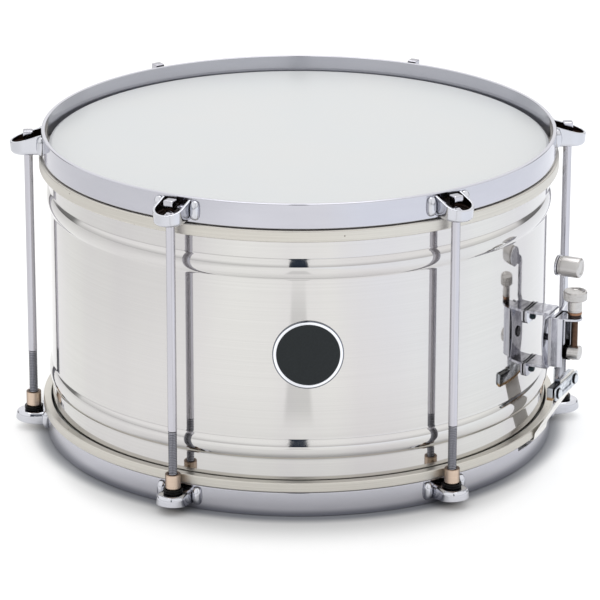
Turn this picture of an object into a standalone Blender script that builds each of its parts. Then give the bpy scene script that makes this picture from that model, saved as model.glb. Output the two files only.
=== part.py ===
"""Caixa, a small Brazilian snare drum: a spun aluminium shell, two clear-edged heads, and a throw-off.

Run with: blender --background --python part.py
Metres, +Z up. The origin is the centre of the batter head. The throw-off strainer is at +X.
"""
import math

import bmesh
import bpy
from mathutils import Matrix

MM = 0.001

# Driving dimensions, in millimetres
SHELL_R = 152.4
SHELL_WALL = 1.2
DRUM_DEPTH = 175.6
GAP = 0.3
FILM = 0.4
ROUND = 64

# Beads pressed out of the shell
BEAD_HALF = 6.1
BEAD_OUT = 2.5
BEAD_FROM_HEAD = 31.9

# Flesh rings that hold the heads
RING_THICK = 5.8
RING_IN = SHELL_R + GAP + FILM + GAP
RING_OUT = RING_IN + RING_THICK
RING_TOP = 6.7
RING_TALL = 7.1

# Flanged counter hoops, plain bands with six claws each
HOOP_STEP = 1.7
HOOP_THICK = 2.3
HOOP_IN = RING_IN + HOOP_STEP
HOOP_OUT = HOOP_IN + HOOP_THICK
HOOP_SEAT = RING_TOP - GAP
TOP_HOOP_RISE = 9.0
BOTTOM_HOOP_RISE = 9.0
GATE_HALF = 21.6
GATE_DEEP = 2.9

# Tension set, six full-length rods
RODS = 6
ROD_FIRST = -92.4
ROD_STAND = 8.0
ROD_CIRCLE = HOOP_OUT + ROD_STAND
ROD_R = 2.7
ROD_HEAD = 6.0
ROD_HEAD_TALL = 6.1
ROD_NECK = 2.5
ROD_FLANGE_R = ROD_R + 1.5
ROD_FLANGE_TALL = 0.9

# Claws, also called ears, on the hoops
EAR_HALF = 9.3
EAR_WALL = 1.5
EAR_NOSE = ROD_CIRCLE + 2.0
EAR_FLOOR = 5.3
PAD_HALF = 17.0
PAD_THICK = 1.6
TOP_EAR_FLAT = -HOOP_SEAT + 0.1
TOP_EAR_NOSE = 7.3
TOP_EAR_ROOT = 13.3
TOP_PAD = (2.1, 12.4)
LOW_EAR_FLAT = -(DRUM_DEPTH - 2.6)
LOW_EAR_NOSE = 7.0
LOW_EAR_ROOT = 10.0
LOW_PAD = (-2.5, 9.6)
ROD_FLANGE = TOP_EAR_FLAT + EAR_FLOOR + GAP
ROD_HEAD_LOW = ROD_FLANGE + ROD_FLANGE_TALL + ROD_NECK
ROD_HEAD_TOP = ROD_HEAD_LOW + ROD_HEAD_TALL

# Nut tubes and washers
NUT_BORE = ROD_R + GAP
NUT_R = NUT_BORE + 1.6
NUT_TALL = 9.0
NUT_NECK = NUT_BORE + 0.8
NUT_FOOT_R = NUT_NECK + 1.2
NUT_FOOT = 1.5
WASHER_R = NUT_R + 1.2
WASHER_TALL = 2.5

# Badge, left plain
BADGE_R = 21.0
BADGE_RISE = 3.5
BADGE_Z = BADGE_RISE - DRUM_DEPTH / 2
BADGE_AT = -63.7
BADGE_THICK = 0.7

# Strainer at +X: x is the distance from the drum's axis, and its feet stand above the lower bead
BRACKET_HALF = 8.3
BRACKET_PLATE = 1.8
FOOT_HALF = 10.0
FOOT_THICK = 1.6
FOOT_DROP = 8.8
FOOT_CLEAR = 9.0
FACE = SHELL_R + GAP
LOW_BEAD_EDGE = BEAD_FROM_HEAD + BEAD_HALF - DRUM_DEPTH
TAB_LOW = LOW_BEAD_EDGE + FOOT_CLEAR + FOOT_DROP
TAB_APART = 33.8
TAB_TOP = TAB_LOW + TAB_APART
TAB_REACH = 16.2
TAB_OUT = FACE + TAB_REACH
WEB_BOW = 2.4
BOLT_DROP = 6.0
BOLT_R = 2.0
BOLT_STUB = 2.7
BOLT_TIP = FACE + FOOT_THICK + BOLT_STUB
LEVER_SET = 0.7
LEVER_THICK = 1.5
LEVER_BACK = TAB_OUT - LEVER_SET
LEVER_JOG = 2.2
HOUSING_PLATE = 1.5
HOUSING_DEEP = 8.8
HOUSING_BACK = LEVER_BACK + LEVER_THICK + GAP
HOUSING_OUT = HOUSING_BACK + HOUSING_DEEP
HOUSING_TOP = TAB_TOP - BRACKET_PLATE - 0.7
HOUSING_LOW = TAB_LOW + 0.4
PIVOT_DROP = 1.1
PIVOT_Z = (TAB_TOP + TAB_LOW) / 2 - PIVOT_DROP
PIN_R = 2.0
HUB_R = 6.5
LEVER_STRIP_HALF = 3.0
LEVER_STRIP_Y = BRACKET_HALF + LEVER_STRIP_HALF + 1.0
LEVER_SHOULDER = 11.5
LEVER_LONG = 46.3
GRIP_Y = 1.0
GRIP_Z = PIVOT_Z + LEVER_LONG
GRIP_R = 6.3
GRIP_LONG = 17.0
GRIP_IN = LEVER_BACK + LEVER_THICK + GAP
GRIP_OUT = GRIP_IN + GRIP_LONG
SCREW_STAND = 3.3
SCREW_X = HOUSING_OUT + SCREW_STAND
SCREW_R = 2.2
YOKE_SET = 0.4
YOKE_TOP = HOUSING_TOP - YOKE_SET
YOKE_THICK = 1.5
YOKE_HALF = BRACKET_HALF - HOUSING_PLATE - 0.6
KNOB_R = 7.25
KNOB_RISE = 17.0
KNOB_TOP = YOKE_TOP + KNOB_RISE
KNOB_TALL = 5.7
COLLAR_R = 4.35
NUT_BARREL_R = 4.4
NUT_BARREL_DROP = 22.3
NUT_BARREL_Z = YOKE_TOP - NUT_BARREL_DROP
SLIDER_HALF = 3.6
SLIDER_THICK = 2.7
SLIDER_IN = HOUSING_BACK + HOUSING_PLATE + 0.5
SLIDER_OUT = SLIDER_IN + SLIDER_THICK

# Link between the slider and the snare strap
TONGUE_OUT = 4.4
TONGUE_DROP = 14.7
RIVET_HIGH = (SCREW_X + TONGUE_OUT, NUT_BARREL_Z - TONGUE_DROP)
LINK_INWARD = 12.0
LINK_DROP = 11.9
RIVET_LOW = (RIVET_HIGH[0] - LINK_INWARD, RIVET_HIGH[1] - LINK_DROP)
LINK_HALF = 4.25
LINK_PLATE = 1.6
LINK_INSIDE = SLIDER_HALF + 0.4
LINK_TAIL = 3.5
LINK_CUT = RIVET_LOW[0] - LINK_TAIL
RIVET_R = 1.7
RIVET_HEAD_R = RIVET_R + 1.05
RIVET_HEAD = 0.9

# Strap and snares
STRAP_THICK = 0.5
STRAP_HALF = 7.5
CLAMP_HALF = 5.0
SNARE_SHORT = 22.2
SNARE_END = SHELL_R - SHELL_WALL - SNARE_SHORT
SNARE_Z = -(DRUM_DEPTH + 0.9)
SNARE_PLATE = (12.0, GATE_HALF - 0.6, 0.7)
WIRES = 10
WIRE_R = 0.65

# Butt end at -X
BUTT_HALF = 9.0
BUTT_CLEAR = 9.6
BUTT_TALL = 28.0
BUTT_TAB = LOW_BEAD_EDGE + BUTT_CLEAR
BUTT_TOP = BUTT_TAB + BUTT_TALL
BUTT_REACH = 9.0
BUTT_LIP = FACE + BUTT_REACH


def clear_scene():
    """Remove the startup objects."""
    for item in list(bpy.data.objects):
        bpy.data.objects.remove(item, do_unlink=True)


def new_collection(name, parent):
    """A collection linked under parent."""
    made = bpy.data.collections.new(name)
    parent.children.link(made)
    return made


def finish(name, colour, roughness, metallic):
    """A Principled material."""
    made = bpy.data.materials.new(name)
    made.use_nodes = True
    shader = made.node_tree.nodes["Principled BSDF"]
    shader.inputs["Base Color"].default_value = (*colour, 1.0)
    shader.inputs["Roughness"].default_value = roughness
    shader.inputs["Metallic"].default_value = metallic
    return made


clear_scene()
DRUM = new_collection("caixa", bpy.context.scene.collection)
TOOLS = new_collection("cutters", bpy.context.scene.collection)

ALUMINIUM = finish("satin aluminium", (0.72, 0.72, 0.71), 0.32, 1.0)
RING_METAL = finish("cream aluminium", (0.78, 0.76, 0.70), 0.42, 1.0)
CHROME = finish("hoop chrome", (0.80, 0.80, 0.84), 0.10, 1.0)
CASTING = finish("cast chrome", (0.72, 0.72, 0.75), 0.16, 1.0)
ROD_STEEL = finish("rod chrome", (0.70, 0.70, 0.73), 0.14, 1.0)
BRASS = finish("nut brass", (0.72, 0.60, 0.42), 0.28, 1.0)
RUBBER = finish("black washer", (0.03, 0.03, 0.03), 0.70, 0.0)
SKIN = finish("milky film", (0.86, 0.86, 0.85), 0.38, 0.0)
BADGE_PLATE = finish("charcoal badge", (0.12, 0.12, 0.13), 0.35, 0.6)
NICKEL = finish("satin nickel", (0.74, 0.72, 0.68), 0.26, 1.0)
STEEL = finish("plated steel", (0.66, 0.66, 0.68), 0.20, 1.0)
BRONZE = finish("bronzed screw", (0.30, 0.22, 0.18), 0.40, 0.9)
BOLT_METAL = finish("dark bolt", (0.10, 0.14, 0.15), 0.40, 0.8)
PLASTIC = finish("white strap", (0.90, 0.90, 0.88), 0.45, 0.0)
WIRE_METAL = finish("snare wire", (0.70, 0.70, 0.70), 0.25, 1.0)


def add(name, mesh, material, at=(0.0, 0.0, 0.0), turn=0.0, group=None):
    """An object with its mesh in place, its origin at (millimetres), turned about Z (degrees)."""
    made = bpy.data.objects.new(name, mesh)
    if material:
        mesh.materials.clear()
        mesh.materials.append(material)
    made.location = [value * MM for value in at]
    made.rotation_euler = (0.0, 0.0, math.radians(turn))
    (group or DRUM).objects.link(made)
    return made


def tool(mesh):
    """A hidden object that only cuts or joins."""
    made = add("cutter", mesh, None, group=TOOLS)
    made.hide_render = True
    made.display_type = "WIRE"
    return made


def solid_mesh(shape, matrix=None):
    """A mesh from a bmesh in millimetres."""
    if matrix:
        bmesh.ops.transform(shape, matrix=matrix, verts=shape.verts)
    bmesh.ops.recalc_face_normals(shape, faces=shape.faces)
    bmesh.ops.scale(shape, vec=(MM, MM, MM), verts=shape.verts)
    mesh = bpy.data.meshes.new("solid")
    shape.to_mesh(mesh)
    shape.free()
    return mesh


def box(x, y, z):
    """A box from three (low, high) pairs."""
    shape = bmesh.new()
    bmesh.ops.create_cube(shape, size=1.0)
    size = (x[1] - x[0], y[1] - y[0], z[1] - z[0])
    centre = ((x[0] + x[1]) / 2, (y[0] + y[1]) / 2, (z[0] + z[1]) / 2)
    return solid_mesh(shape, Matrix.LocRotScale(centre, None, size))


AXES = {
    "X": Matrix.Rotation(math.pi / 2, 4, "Y"),
    "Y": Matrix.Rotation(-math.pi / 2, 4, "X"),
    "Z": Matrix.Identity(4),
}


def rod(radius, low, high, centre, axis, steps=12):
    """A cylinder from low to high along its axis, about centre, the two coordinates left over."""
    shape = bmesh.new()
    length = high - low
    bmesh.ops.create_cone(shape, cap_ends=True, segments=steps, radius1=radius, radius2=radius, depth=length)
    middle = (high + low) / 2
    place = {
        "X": (middle, centre[0], centre[1]),
        "Y": (centre[0], middle, centre[1]),
        "Z": (centre[0], centre[1], middle),
    }[axis]
    return solid_mesh(shape, Matrix.Translation(place) @ AXES[axis])


def arc(centre, radius, start, end, steps):
    """Points of an arc, in degrees."""
    points = []
    for step in range(steps + 1):
        angle = math.radians(start + (end - start) * step / steps)
        points.append((centre[0] + radius * math.cos(angle), centre[1] + radius * math.sin(angle)))
    return points


def slab(outline, low, high, across):
    """A flat outline made solid from low to high across its plane: XZ along Y, YZ along X, XY along Z."""
    curve = bpy.data.curves.new("outline", "CURVE")
    curve.dimensions = "2D"
    curve.fill_mode = "BOTH"
    curve.extrude = (high - low) / 2
    spline = curve.splines.new("POLY")
    spline.points.add(len(outline) - 1)
    for point, (u, v) in zip(spline.points, outline):
        point.co = (u, v, 0.0, 1.0)
    spline.use_cyclic_u = True
    holder = bpy.data.objects.new("outline", curve)
    TOOLS.objects.link(holder)
    depsgraph = bpy.context.evaluated_depsgraph_get()
    flat = bpy.data.meshes.new_from_object(holder.evaluated_get(depsgraph))
    shape = bmesh.new()
    shape.from_mesh(flat)
    bmesh.ops.remove_doubles(shape, verts=shape.verts, dist=0.001)
    bpy.data.objects.remove(holder, do_unlink=True)
    bpy.data.meshes.remove(flat)
    middle = (low + high) / 2
    place = {
        "Y": Matrix.Translation((0, middle, 0)) @ Matrix.Rotation(math.pi / 2, 4, "X"),
        "X": Matrix.Translation((middle, 0, 0)) @ Matrix(((0, 0, 1, 0), (1, 0, 0, 0), (0, 1, 0, 0), (0, 0, 0, 1))),
        "Z": Matrix.Translation((0, 0, middle)),
    }[across]
    return solid_mesh(shape, place)


def bent_plate(inner, outer, half_width, low, high, parts=6):
    """A plate at +X that follows a circle about the drum's axis."""
    shape = bmesh.new()
    bmesh.ops.create_cube(shape, size=1.0)
    for part in range(1, parts):
        every = shape.verts[:] + shape.edges[:] + shape.faces[:]
        bmesh.ops.bisect_plane(shape, geom=every, plane_co=(0, part / parts - 0.5, 0), plane_no=(0, 1, 0))
    reach = 2 * math.asin(half_width / inner)
    for vert in shape.verts:
        radius = outer if vert.co.x > 0 else inner
        angle = vert.co.y * reach
        height = high if vert.co.z > 0 else low
        vert.co = (radius * math.cos(angle), radius * math.sin(angle), height)
    return solid_mesh(shape)


def turned_mesh(profile, steps, closed):
    """A profile line turned about Z. At +X it runs down its outer side."""
    mesh = bpy.data.meshes.new("profile")
    count = len(profile)
    edges = [(index, index + 1) for index in range(count - 1)]
    if closed:
        edges.append((count - 1, 0))
    mesh.from_pydata([(radius * MM, 0.0, height * MM) for radius, height in profile], edges, [])
    return mesh


def turned(name, profile, material, steps=ROUND, closed=True, at=(0.0, 0.0, 0.0), turn=0.0, group=None):
    """A turned piece, made by a Screw modifier."""
    made = add(name, turned_mesh(profile, steps, closed), material, at, turn, group)
    screw = made.modifiers.new("Turn", "SCREW")
    screw.steps = steps
    screw.render_steps = steps
    screw.use_merge_vertices = True
    screw.merge_threshold = 1e-5
    return made


def work(target, *steps):
    """Boolean steps on a piece: pairs of an operation and a mesh."""
    for operation, mesh in steps:
        boolean = target.modifiers.new(operation.title(), "BOOLEAN")
        boolean.operation = operation
        boolean.solver = "EXACT"
        boolean.object = tool(mesh)
        boolean.object.parent = target
        boolean.object.matrix_parent_inverse = Matrix.Identity(4)
    return target


def settled(target):
    """The finished mesh of a piece, with its tools and itself taken away."""
    depsgraph = bpy.context.evaluated_depsgraph_get()
    mesh = bpy.data.meshes.new_from_object(target.evaluated_get(depsgraph))
    for modifier in target.modifiers:
        if modifier.type == "BOOLEAN":
            bpy.data.objects.remove(modifier.object, do_unlink=True)
    bpy.data.objects.remove(target, do_unlink=True)
    return mesh


def bead(centre, inside):
    """The half-round bead's points from top to bottom, on the wall's outside or inside."""
    bend = (BEAD_HALF ** 2 + BEAD_OUT ** 2) / (2 * BEAD_OUT)
    hub = SHELL_R + BEAD_OUT - bend
    radius = bend - inside
    spread = math.degrees(math.acos((SHELL_R - inside - hub) / radius))
    return arc((hub, centre), radius, spread, -spread, 4)


def shell():
    """The shell, with a bead near each head and rounded bearing edges."""
    beads = (-BEAD_FROM_HEAD, BEAD_FROM_HEAD - DRUM_DEPTH)
    outer = [(SHELL_R - 0.9, -0.7), (SHELL_R - 0.4, -0.95), (SHELL_R, -1.8)]
    inner = [(SHELL_R - SHELL_WALL, -1.0)]
    for centre in beads:
        outer += bead(centre, 0.0)
        inner += bead(centre, SHELL_WALL)
    outer += [(radius, -DRUM_DEPTH - height) for radius, height in reversed(outer[:3])]
    inner += [(SHELL_R - SHELL_WALL, -DRUM_DEPTH + 1.0)]
    made = turned("shell", outer + inner[::-1], ALUMINIUM)
    for top in (TAB_TOP, TAB_LOW):
        work(made, ("DIFFERENCE", rod(BOLT_R + GAP, SHELL_R - 7.0, BOLT_TIP + 1.0, (0.0, top - BOLT_DROP), "X", 12)))
    return made


def head(name, low_side):
    """A drum head: the flat film and its collar over the bearing edge."""
    film = [
        (0.0, 0.0), (SHELL_R - 1.4, 0.0), (SHELL_R + 0.2, -0.3), (SHELL_R + GAP + FILM, -1.6),
        (SHELL_R + GAP + FILM, -12.6), (SHELL_R + GAP, -12.6), (SHELL_R + GAP, -1.7),
        (SHELL_R - 0.1, -0.7), (SHELL_R - 1.5, -FILM), (0.0, -FILM),
    ]
    if low_side:
        film = [(radius, -DRUM_DEPTH - height) for radius, height in reversed(film)]
    return turned(name, film, SKIN, closed=False)


def band(inner, outer, top, low, ease):
    """A ring's profile with eased outer edges."""
    return [
        (inner, top), (outer - ease, top), (outer, top - ease),
        (outer, low + ease), (outer - ease, low), (inner, low),
    ]


def rings_and_hoops():
    """Flesh rings, and the hoops that press on them, the lower one with its snare gates."""
    low_ring = RING_TOP + RING_TALL - DRUM_DEPTH
    turned("batter_flesh_ring", band(RING_IN, RING_OUT, -RING_TOP, -RING_TOP - RING_TALL, 0.7), RING_METAL)
    turned("snare_flesh_ring", band(RING_IN, RING_OUT, low_ring, low_ring - RING_TALL, 0.7), RING_METAL)
    turned("top_hoop", band(HOOP_IN, HOOP_OUT, TOP_HOOP_RISE, -HOOP_SEAT, 0.5), CHROME)
    top = HOOP_SEAT - DRUM_DEPTH - 0.2
    low = -DRUM_DEPTH - BOTTOM_HOOP_RISE
    hoop = turned("bottom_hoop", band(HOOP_IN, HOOP_OUT, top, low, 0.5), CHROME)
    gate = box((-HOOP_OUT - 5, HOOP_OUT + 5), (-GATE_HALF, GATE_HALF), (top - GATE_DEEP, top + 3))
    work(hoop, ("DIFFERENCE", gate))


def ear_mesh(flat, side, nose, root, pad, hole):
    """A claw at +X. It rises from its flat face by side, +1 up and -1 down."""
    def up(height):
        return flat + side * height

    def plan(margin, back):
        return [(back, -EAR_HALF + margin)] + arc((EAR_NOSE, 0.0), EAR_HALF - margin, -90, 90, 6) + [
            (back, EAR_HALF - margin)]

    def span(low, high):
        return sorted((up(low), up(high)))

    body = tool(slab(plan(0.0, HOOP_OUT - 1.5), *span(0.0, root), "Z"))
    slope = [
        (HOOP_OUT + GAP, up(root)), (EAR_NOSE + EAR_HALF, up(nose)), (EAR_NOSE + EAR_HALF + 4, up(nose)),
        (EAR_NOSE + EAR_HALF + 4, up(root + 4)), (HOOP_OUT - 4, up(root + 4)), (HOOP_OUT - 4, up(root)),
    ]
    back = HOOP_OUT + GAP
    work(
        body,
        ("DIFFERENCE", slab(plan(EAR_WALL, HOOP_OUT - 4), *span(EAR_FLOOR, root + 2), "Z")),
        ("DIFFERENCE", slab(slope, -EAR_HALF - 3, EAR_HALF + 3, "Y")),
        ("UNION", bent_plate(back - 0.5, back + PAD_THICK, PAD_HALF, *span(*pad), 4)),
        ("DIFFERENCE", rod(back, *span(-6.0, root + 4), (0.0, 0.0), "Z", 128)),
        ("DIFFERENCE", rod(hole, *span(-1.0, EAR_FLOOR + 1), (ROD_CIRCLE, 0.0), "Z", 12)),
    )
    return settled(body)


def rod_mesh(low):
    """A tension rod about its own axis: square head, neck, flange and shank."""
    flange = ROD_FLANGE + ROD_FLANGE_TALL
    shank = [
        (0.0, ROD_HEAD_LOW + 0.2), (ROD_HEAD / 2, ROD_HEAD_LOW + 0.2), (ROD_R, flange),
        (ROD_FLANGE_R, flange), (ROD_FLANGE_R, ROD_FLANGE), (ROD_R, ROD_FLANGE),
        (ROD_R, low + 1.0), (ROD_R - 1.0, low), (0.0, low),
    ]
    body = turned("rod blank", shank, None, 14, False, group=TOOLS)
    half = ROD_HEAD / 2
    work(body, ("UNION", box((-half, half), (-half, half), (ROD_HEAD_LOW, ROD_HEAD_TOP))))
    return settled(body)


def tension_set():
    """Six rods, each with its claws, its nut tube and its washer."""
    top_ear = ear_mesh(TOP_EAR_FLAT, 1, TOP_EAR_NOSE, TOP_EAR_ROOT, TOP_PAD, ROD_R + GAP)
    low_ear = ear_mesh(LOW_EAR_FLAT, -1, LOW_EAR_NOSE, LOW_EAR_ROOT, LOW_PAD, NUT_NECK + GAP)
    washer_low = LOW_EAR_FLAT + GAP
    washer_top = washer_low + WASHER_TALL
    nut_low = washer_top + GAP
    foot = LOW_EAR_FLAT - EAR_FLOOR - GAP
    shank = rod_mesh(foot)
    nut = [
        (NUT_BORE, nut_low + NUT_TALL), (NUT_R, nut_low + NUT_TALL), (NUT_R, nut_low), (NUT_NECK, nut_low),
        (NUT_NECK, foot), (NUT_FOOT_R, foot), (NUT_FOOT_R, foot - NUT_FOOT), (NUT_BORE, foot - NUT_FOOT),
    ]
    bore = NUT_NECK + GAP
    washer = [(bore, washer_top), (WASHER_R, washer_top), (WASHER_R, washer_low), (bore, washer_low)]
    for number in range(1, RODS + 1):
        turn = ROD_FIRST + 360.0 / RODS * (number - 1)
        angle = math.radians(turn)
        spot = (ROD_CIRCLE * math.cos(angle), ROD_CIRCLE * math.sin(angle), 0.0)
        add(f"top_ear_{number}", top_ear, CASTING, turn=turn)
        add(f"bottom_ear_{number}", low_ear, CASTING, turn=turn)
        add(f"tension_rod_{number}", shank, ROD_STEEL, spot, turn)
        turned(f"tension_nut_{number}", nut, BRASS, 14, at=spot, turn=turn)
        turned(f"nut_washer_{number}", washer, RUBBER, 14, at=spot, turn=turn)


def badge():
    """The badge, a plain disc bent to the shell."""
    inner = FACE
    plate = bent_plate(inner, inner + BADGE_THICK, BADGE_R + 2, BADGE_Z - BADGE_R - 2, BADGE_Z + BADGE_R + 2, 8)
    made = add("badge", plate, BADGE_PLATE, turn=BADGE_AT)
    disc = rod(BADGE_R, inner - 5, inner + 5, (0.0, BADGE_Z), "X", 32)
    work(made, ("INTERSECT", disc))


def foot_outline(top):
    """A strainer foot seen from outside: square at the top, rounded below."""
    bend = 4.0
    low = top - FOOT_DROP
    left = arc((-FOOT_HALF + bend, low + bend), bend, 180, 270, 3)
    right = arc((FOOT_HALF - bend, low + bend), bend, 270, 360, 3)
    return [(FOOT_HALF, top), (-FOOT_HALF, top)] + left + right


def strainer_bracket():
    """The bent strap that stands the strainer off the shell: two feet, two tabs, and a bowed web."""
    inner = FACE
    middle = (TAB_TOP + TAB_LOW - BRACKET_PLATE) / 2
    reach = (TAB_TOP - TAB_LOW) / 2 - BRACKET_PLATE

    def web(face, steps=6):
        points = []
        for step in range(steps + 1):
            rise = reach * (1 - 2 * step / steps)
            points.append((face - WEB_BOW * (1 - (rise / reach) ** 2), middle + rise))
        return points

    outside = web(TAB_OUT - 0.5)
    inside = web(TAB_OUT - 0.5 - BRACKET_PLATE)
    low_tab = TAB_LOW - BRACKET_PLATE
    profile = [(inner, TAB_TOP), (TAB_OUT - 1, TAB_TOP), (TAB_OUT, TAB_TOP - 1)] + outside + [
        (TAB_OUT, low_tab + 1), (TAB_OUT - 1, low_tab), (inner, low_tab), (inner, TAB_LOW),
        (inside[-1][0], TAB_LOW)] + inside[::-1] + [
        (inside[0][0], TAB_TOP - BRACKET_PLATE), (inner, TAB_TOP - BRACKET_PLATE)]
    made = add("strainer_bracket", slab(profile, -BRACKET_HALF, BRACKET_HALF, "Y"), STEEL)
    for top in (TAB_TOP, TAB_LOW):
        work(
            made,
            ("UNION", slab(foot_outline(top), inner, inner + FOOT_THICK, "X")),
            ("DIFFERENCE", rod(BOLT_R + GAP, inner - 7.0, BOLT_TIP + 1.0, (0.0, top - BOLT_DROP), "X", 12)),
        )
    web_in = TAB_OUT - 0.5 - BRACKET_PLATE - WEB_BOW
    work(made, ("DIFFERENCE", rod(PIN_R + GAP, web_in - 4.0, TAB_OUT + 4.0, (0.0, PIVOT_Z), "X", 12)))


def bracket_bolt(name, top):
    """A bolt from inside the shell, through the wall and the foot."""
    height = top - BOLT_DROP
    inside = SHELL_R - SHELL_WALL
    bolt = [
        (0.0, BOLT_TIP), (BOLT_R - 0.5, BOLT_TIP), (BOLT_R, BOLT_TIP - 0.6), (BOLT_R, inside - 0.45),
        (3.8, inside - 0.45), (3.4, inside - 2.4), (0.0, inside - 2.6),
    ]
    made = turned(name, bolt, BOLT_METAL, 14, False, (0.0, 0.0, height))
    made.rotation_euler = (0.0, math.pi / 2, 0.0)


def strainer_housing():
    """The channel that the slider runs in, open on its outer side."""
    wall = HOUSING_PLATE
    half = BRACKET_HALF
    plan = [
        (HOUSING_BACK, -half), (HOUSING_OUT, -half), (HOUSING_OUT, -half + wall), (HOUSING_BACK + wall, -half + wall),
        (HOUSING_BACK + wall, half - wall), (HOUSING_OUT, half - wall), (HOUSING_OUT, half), (HOUSING_BACK, half),
    ]
    made = add("strainer_housing", slab(plan, HOUSING_LOW, HOUSING_TOP, "Z"), CASTING)
    back = (HOUSING_BACK - 3.0, HOUSING_BACK + wall + 3.0)
    work(made, ("DIFFERENCE", rod(PIN_R + GAP, *back, (0.0, PIVOT_Z), "X", 12)))


def pivot_pin():
    """The rivet that the lever turns on, through web, lever and housing."""
    web = TAB_OUT - 0.5 - BRACKET_PLATE - WEB_BOW
    pin = [
        (0.0, HOUSING_BACK + HOUSING_PLATE - 0.1), (PIN_R, HOUSING_BACK + HOUSING_PLATE - 0.1), (PIN_R, web - GAP),
        (3.4, web - GAP), (3.4, web - GAP - 1.0), (0.0, web - GAP - 1.3),
    ]
    made = turned("lever_pivot_pin", pin, STEEL, 14, False, (0.0, 0.0, PIVOT_Z))
    made.rotation_euler = (0.0, math.pi / 2, 0.0)


def capsule(start, end, half):
    """A straight bar with round ends, as a flat outline."""
    heading = math.degrees(math.atan2(end[1] - start[1], end[0] - start[0]))
    return arc(end, half, heading - 90, heading + 90, 6) + arc(start, half, heading + 90, heading + 270, 6)


def lever():
    """The throw-off lever: a plate cut to its outline and joggled outward between hub and head."""
    shoulder = (LEVER_STRIP_Y, LEVER_SHOULDER)
    head_at = (GRIP_Y, GRIP_Z - PIVOT_Z)
    corner = (LEVER_STRIP_Y, head_at[1] - 6.0)
    low_jog = (TAB_TOP - PIVOT_Z - 5.0, TAB_TOP - PIVOT_Z + 1.0)
    high_jog = (head_at[1] - 9.5, head_at[1] - 6.0)
    face = LEVER_BACK
    out = face + LEVER_JOG
    thick = LEVER_THICK
    top = head_at[1] + GRIP_R + 5.0
    low = -HUB_R - 5.0
    profile = [
        (face + thick, top), (face + thick, high_jog[1]), (out + thick, high_jog[0]), (out + thick, low_jog[1]),
        (face + thick, low_jog[0]), (face + thick, low), (face, low), (face, low_jog[0]),
        (out, low_jog[1]), (out, high_jog[0]), (face, high_jog[1]), (face, top),
    ]
    span = (face - 5.0, out + thick + 5.0)
    wide = LEVER_STRIP_Y + LEVER_STRIP_HALF + 5.0
    blank = tool(slab(capsule((0.0, 0.0), shoulder, 3.2), *span, "X"))
    work(
        blank,
        ("UNION", rod(HUB_R, *span, (0.0, 0.0), "X", 24)),
        ("UNION", slab(capsule(shoulder, corner, LEVER_STRIP_HALF), *span, "X")),
        ("UNION", slab(capsule(corner, head_at, 3.2), *span, "X")),
        ("UNION", rod(GRIP_R, *span, head_at, "X", 24)),
        ("INTERSECT", slab(profile, -wide, wide, "Y")),
        ("DIFFERENCE", rod(PIN_R + GAP, *span, (0.0, 0.0), "X", 12)),
    )
    add("throw_off_lever", settled(blank), STEEL, (0.0, 0.0, PIVOT_Z))


def lever_grip():
    """The roller at the lever's end, with a groove next to the lever's head."""
    start = GRIP_IN
    grip = [
        (0.0, GRIP_OUT - 0.4), (GRIP_R - 1.6, GRIP_OUT), (GRIP_R, GRIP_OUT - 1.6), (GRIP_R, start + 1.4),
        (GRIP_R - 1.2, start + 1.4), (GRIP_R - 1.2, start), (0.0, start),
    ]
    made = turned("lever_grip", grip, NICKEL, 24, False, (0.0, GRIP_Y, GRIP_Z))
    made.rotation_euler = (0.0, math.pi / 2, 0.0)


def lift_yoke():
    """The piece that the lever raises: a flange under the knob and two legs inside the channel."""
    low = YOKE_TOP - YOKE_THICK
    start = HOUSING_BACK + HOUSING_PLATE + 0.9
    nose = arc((SCREW_X, 0.0), 4.6, -75, 75, 6)
    plan = [(start, -YOKE_HALF), (HOUSING_OUT - 1.0, -YOKE_HALF)] + nose + [
        (HOUSING_OUT - 1.0, YOKE_HALF), (start, YOKE_HALF)]
    made = add("lift_yoke", slab(plan, low, YOKE_TOP, "Z"), STEEL)
    for side in (-1, 1):
        edges = sorted((side * (YOKE_HALF - 1.4), side * YOKE_HALF))
        leg = (NUT_BARREL_Z + NUT_BARREL_R + 0.9, YOKE_TOP - 0.5)
        work(made, ("UNION", box((start, HOUSING_OUT - 1.0), edges, leg)))
    work(made, ("DIFFERENCE", rod(SCREW_R + GAP, low - 4.0, YOKE_TOP + 4.0, (SCREW_X, 0.0), "Z", 16)))


def adjuster():
    """The tension knob with its collar, and its screw."""
    low = YOKE_TOP + GAP
    under = KNOB_TOP - KNOB_TALL
    knob = [
        (0.0, KNOB_TOP - 1.2), (5.2, KNOB_TOP - 0.8), (6.4, KNOB_TOP), (KNOB_R, KNOB_TOP - 0.8),
        (KNOB_R, under + 0.6), (KNOB_R - 0.6, under), (COLLAR_R, under), (COLLAR_R, low + 2.0),
        (COLLAR_R - 0.5, low + 1.6), (COLLAR_R - 0.1, low + 1.2), (COLLAR_R - 0.6, low), (0.0, low),
    ]
    turned("adjuster_knob", knob, NICKEL, 24, False, (SCREW_X, 0.0, 0.0))
    screw = [
        (0.0, low - GAP), (SCREW_R, low - GAP), (SCREW_R, NUT_BARREL_Z - 3.6), (SCREW_R - 0.7, NUT_BARREL_Z - 4.3),
        (0.0, NUT_BARREL_Z - 4.3),
    ]
    turned("adjuster_screw", screw, BRONZE, 16, False, (SCREW_X, 0.0, 0.0))
    barrel = rod(NUT_BARREL_R, SCREW_X - 3.5, SCREW_X + 3.9, (0.0, NUT_BARREL_Z), "X", 20)
    made = add("barrel_nut", barrel, NICKEL)
    work(made, ("DIFFERENCE", rod(SCREW_R + GAP, NUT_BARREL_Z - 8, NUT_BARREL_Z + 8, (SCREW_X, 0.0), "Z", 16)))


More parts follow.
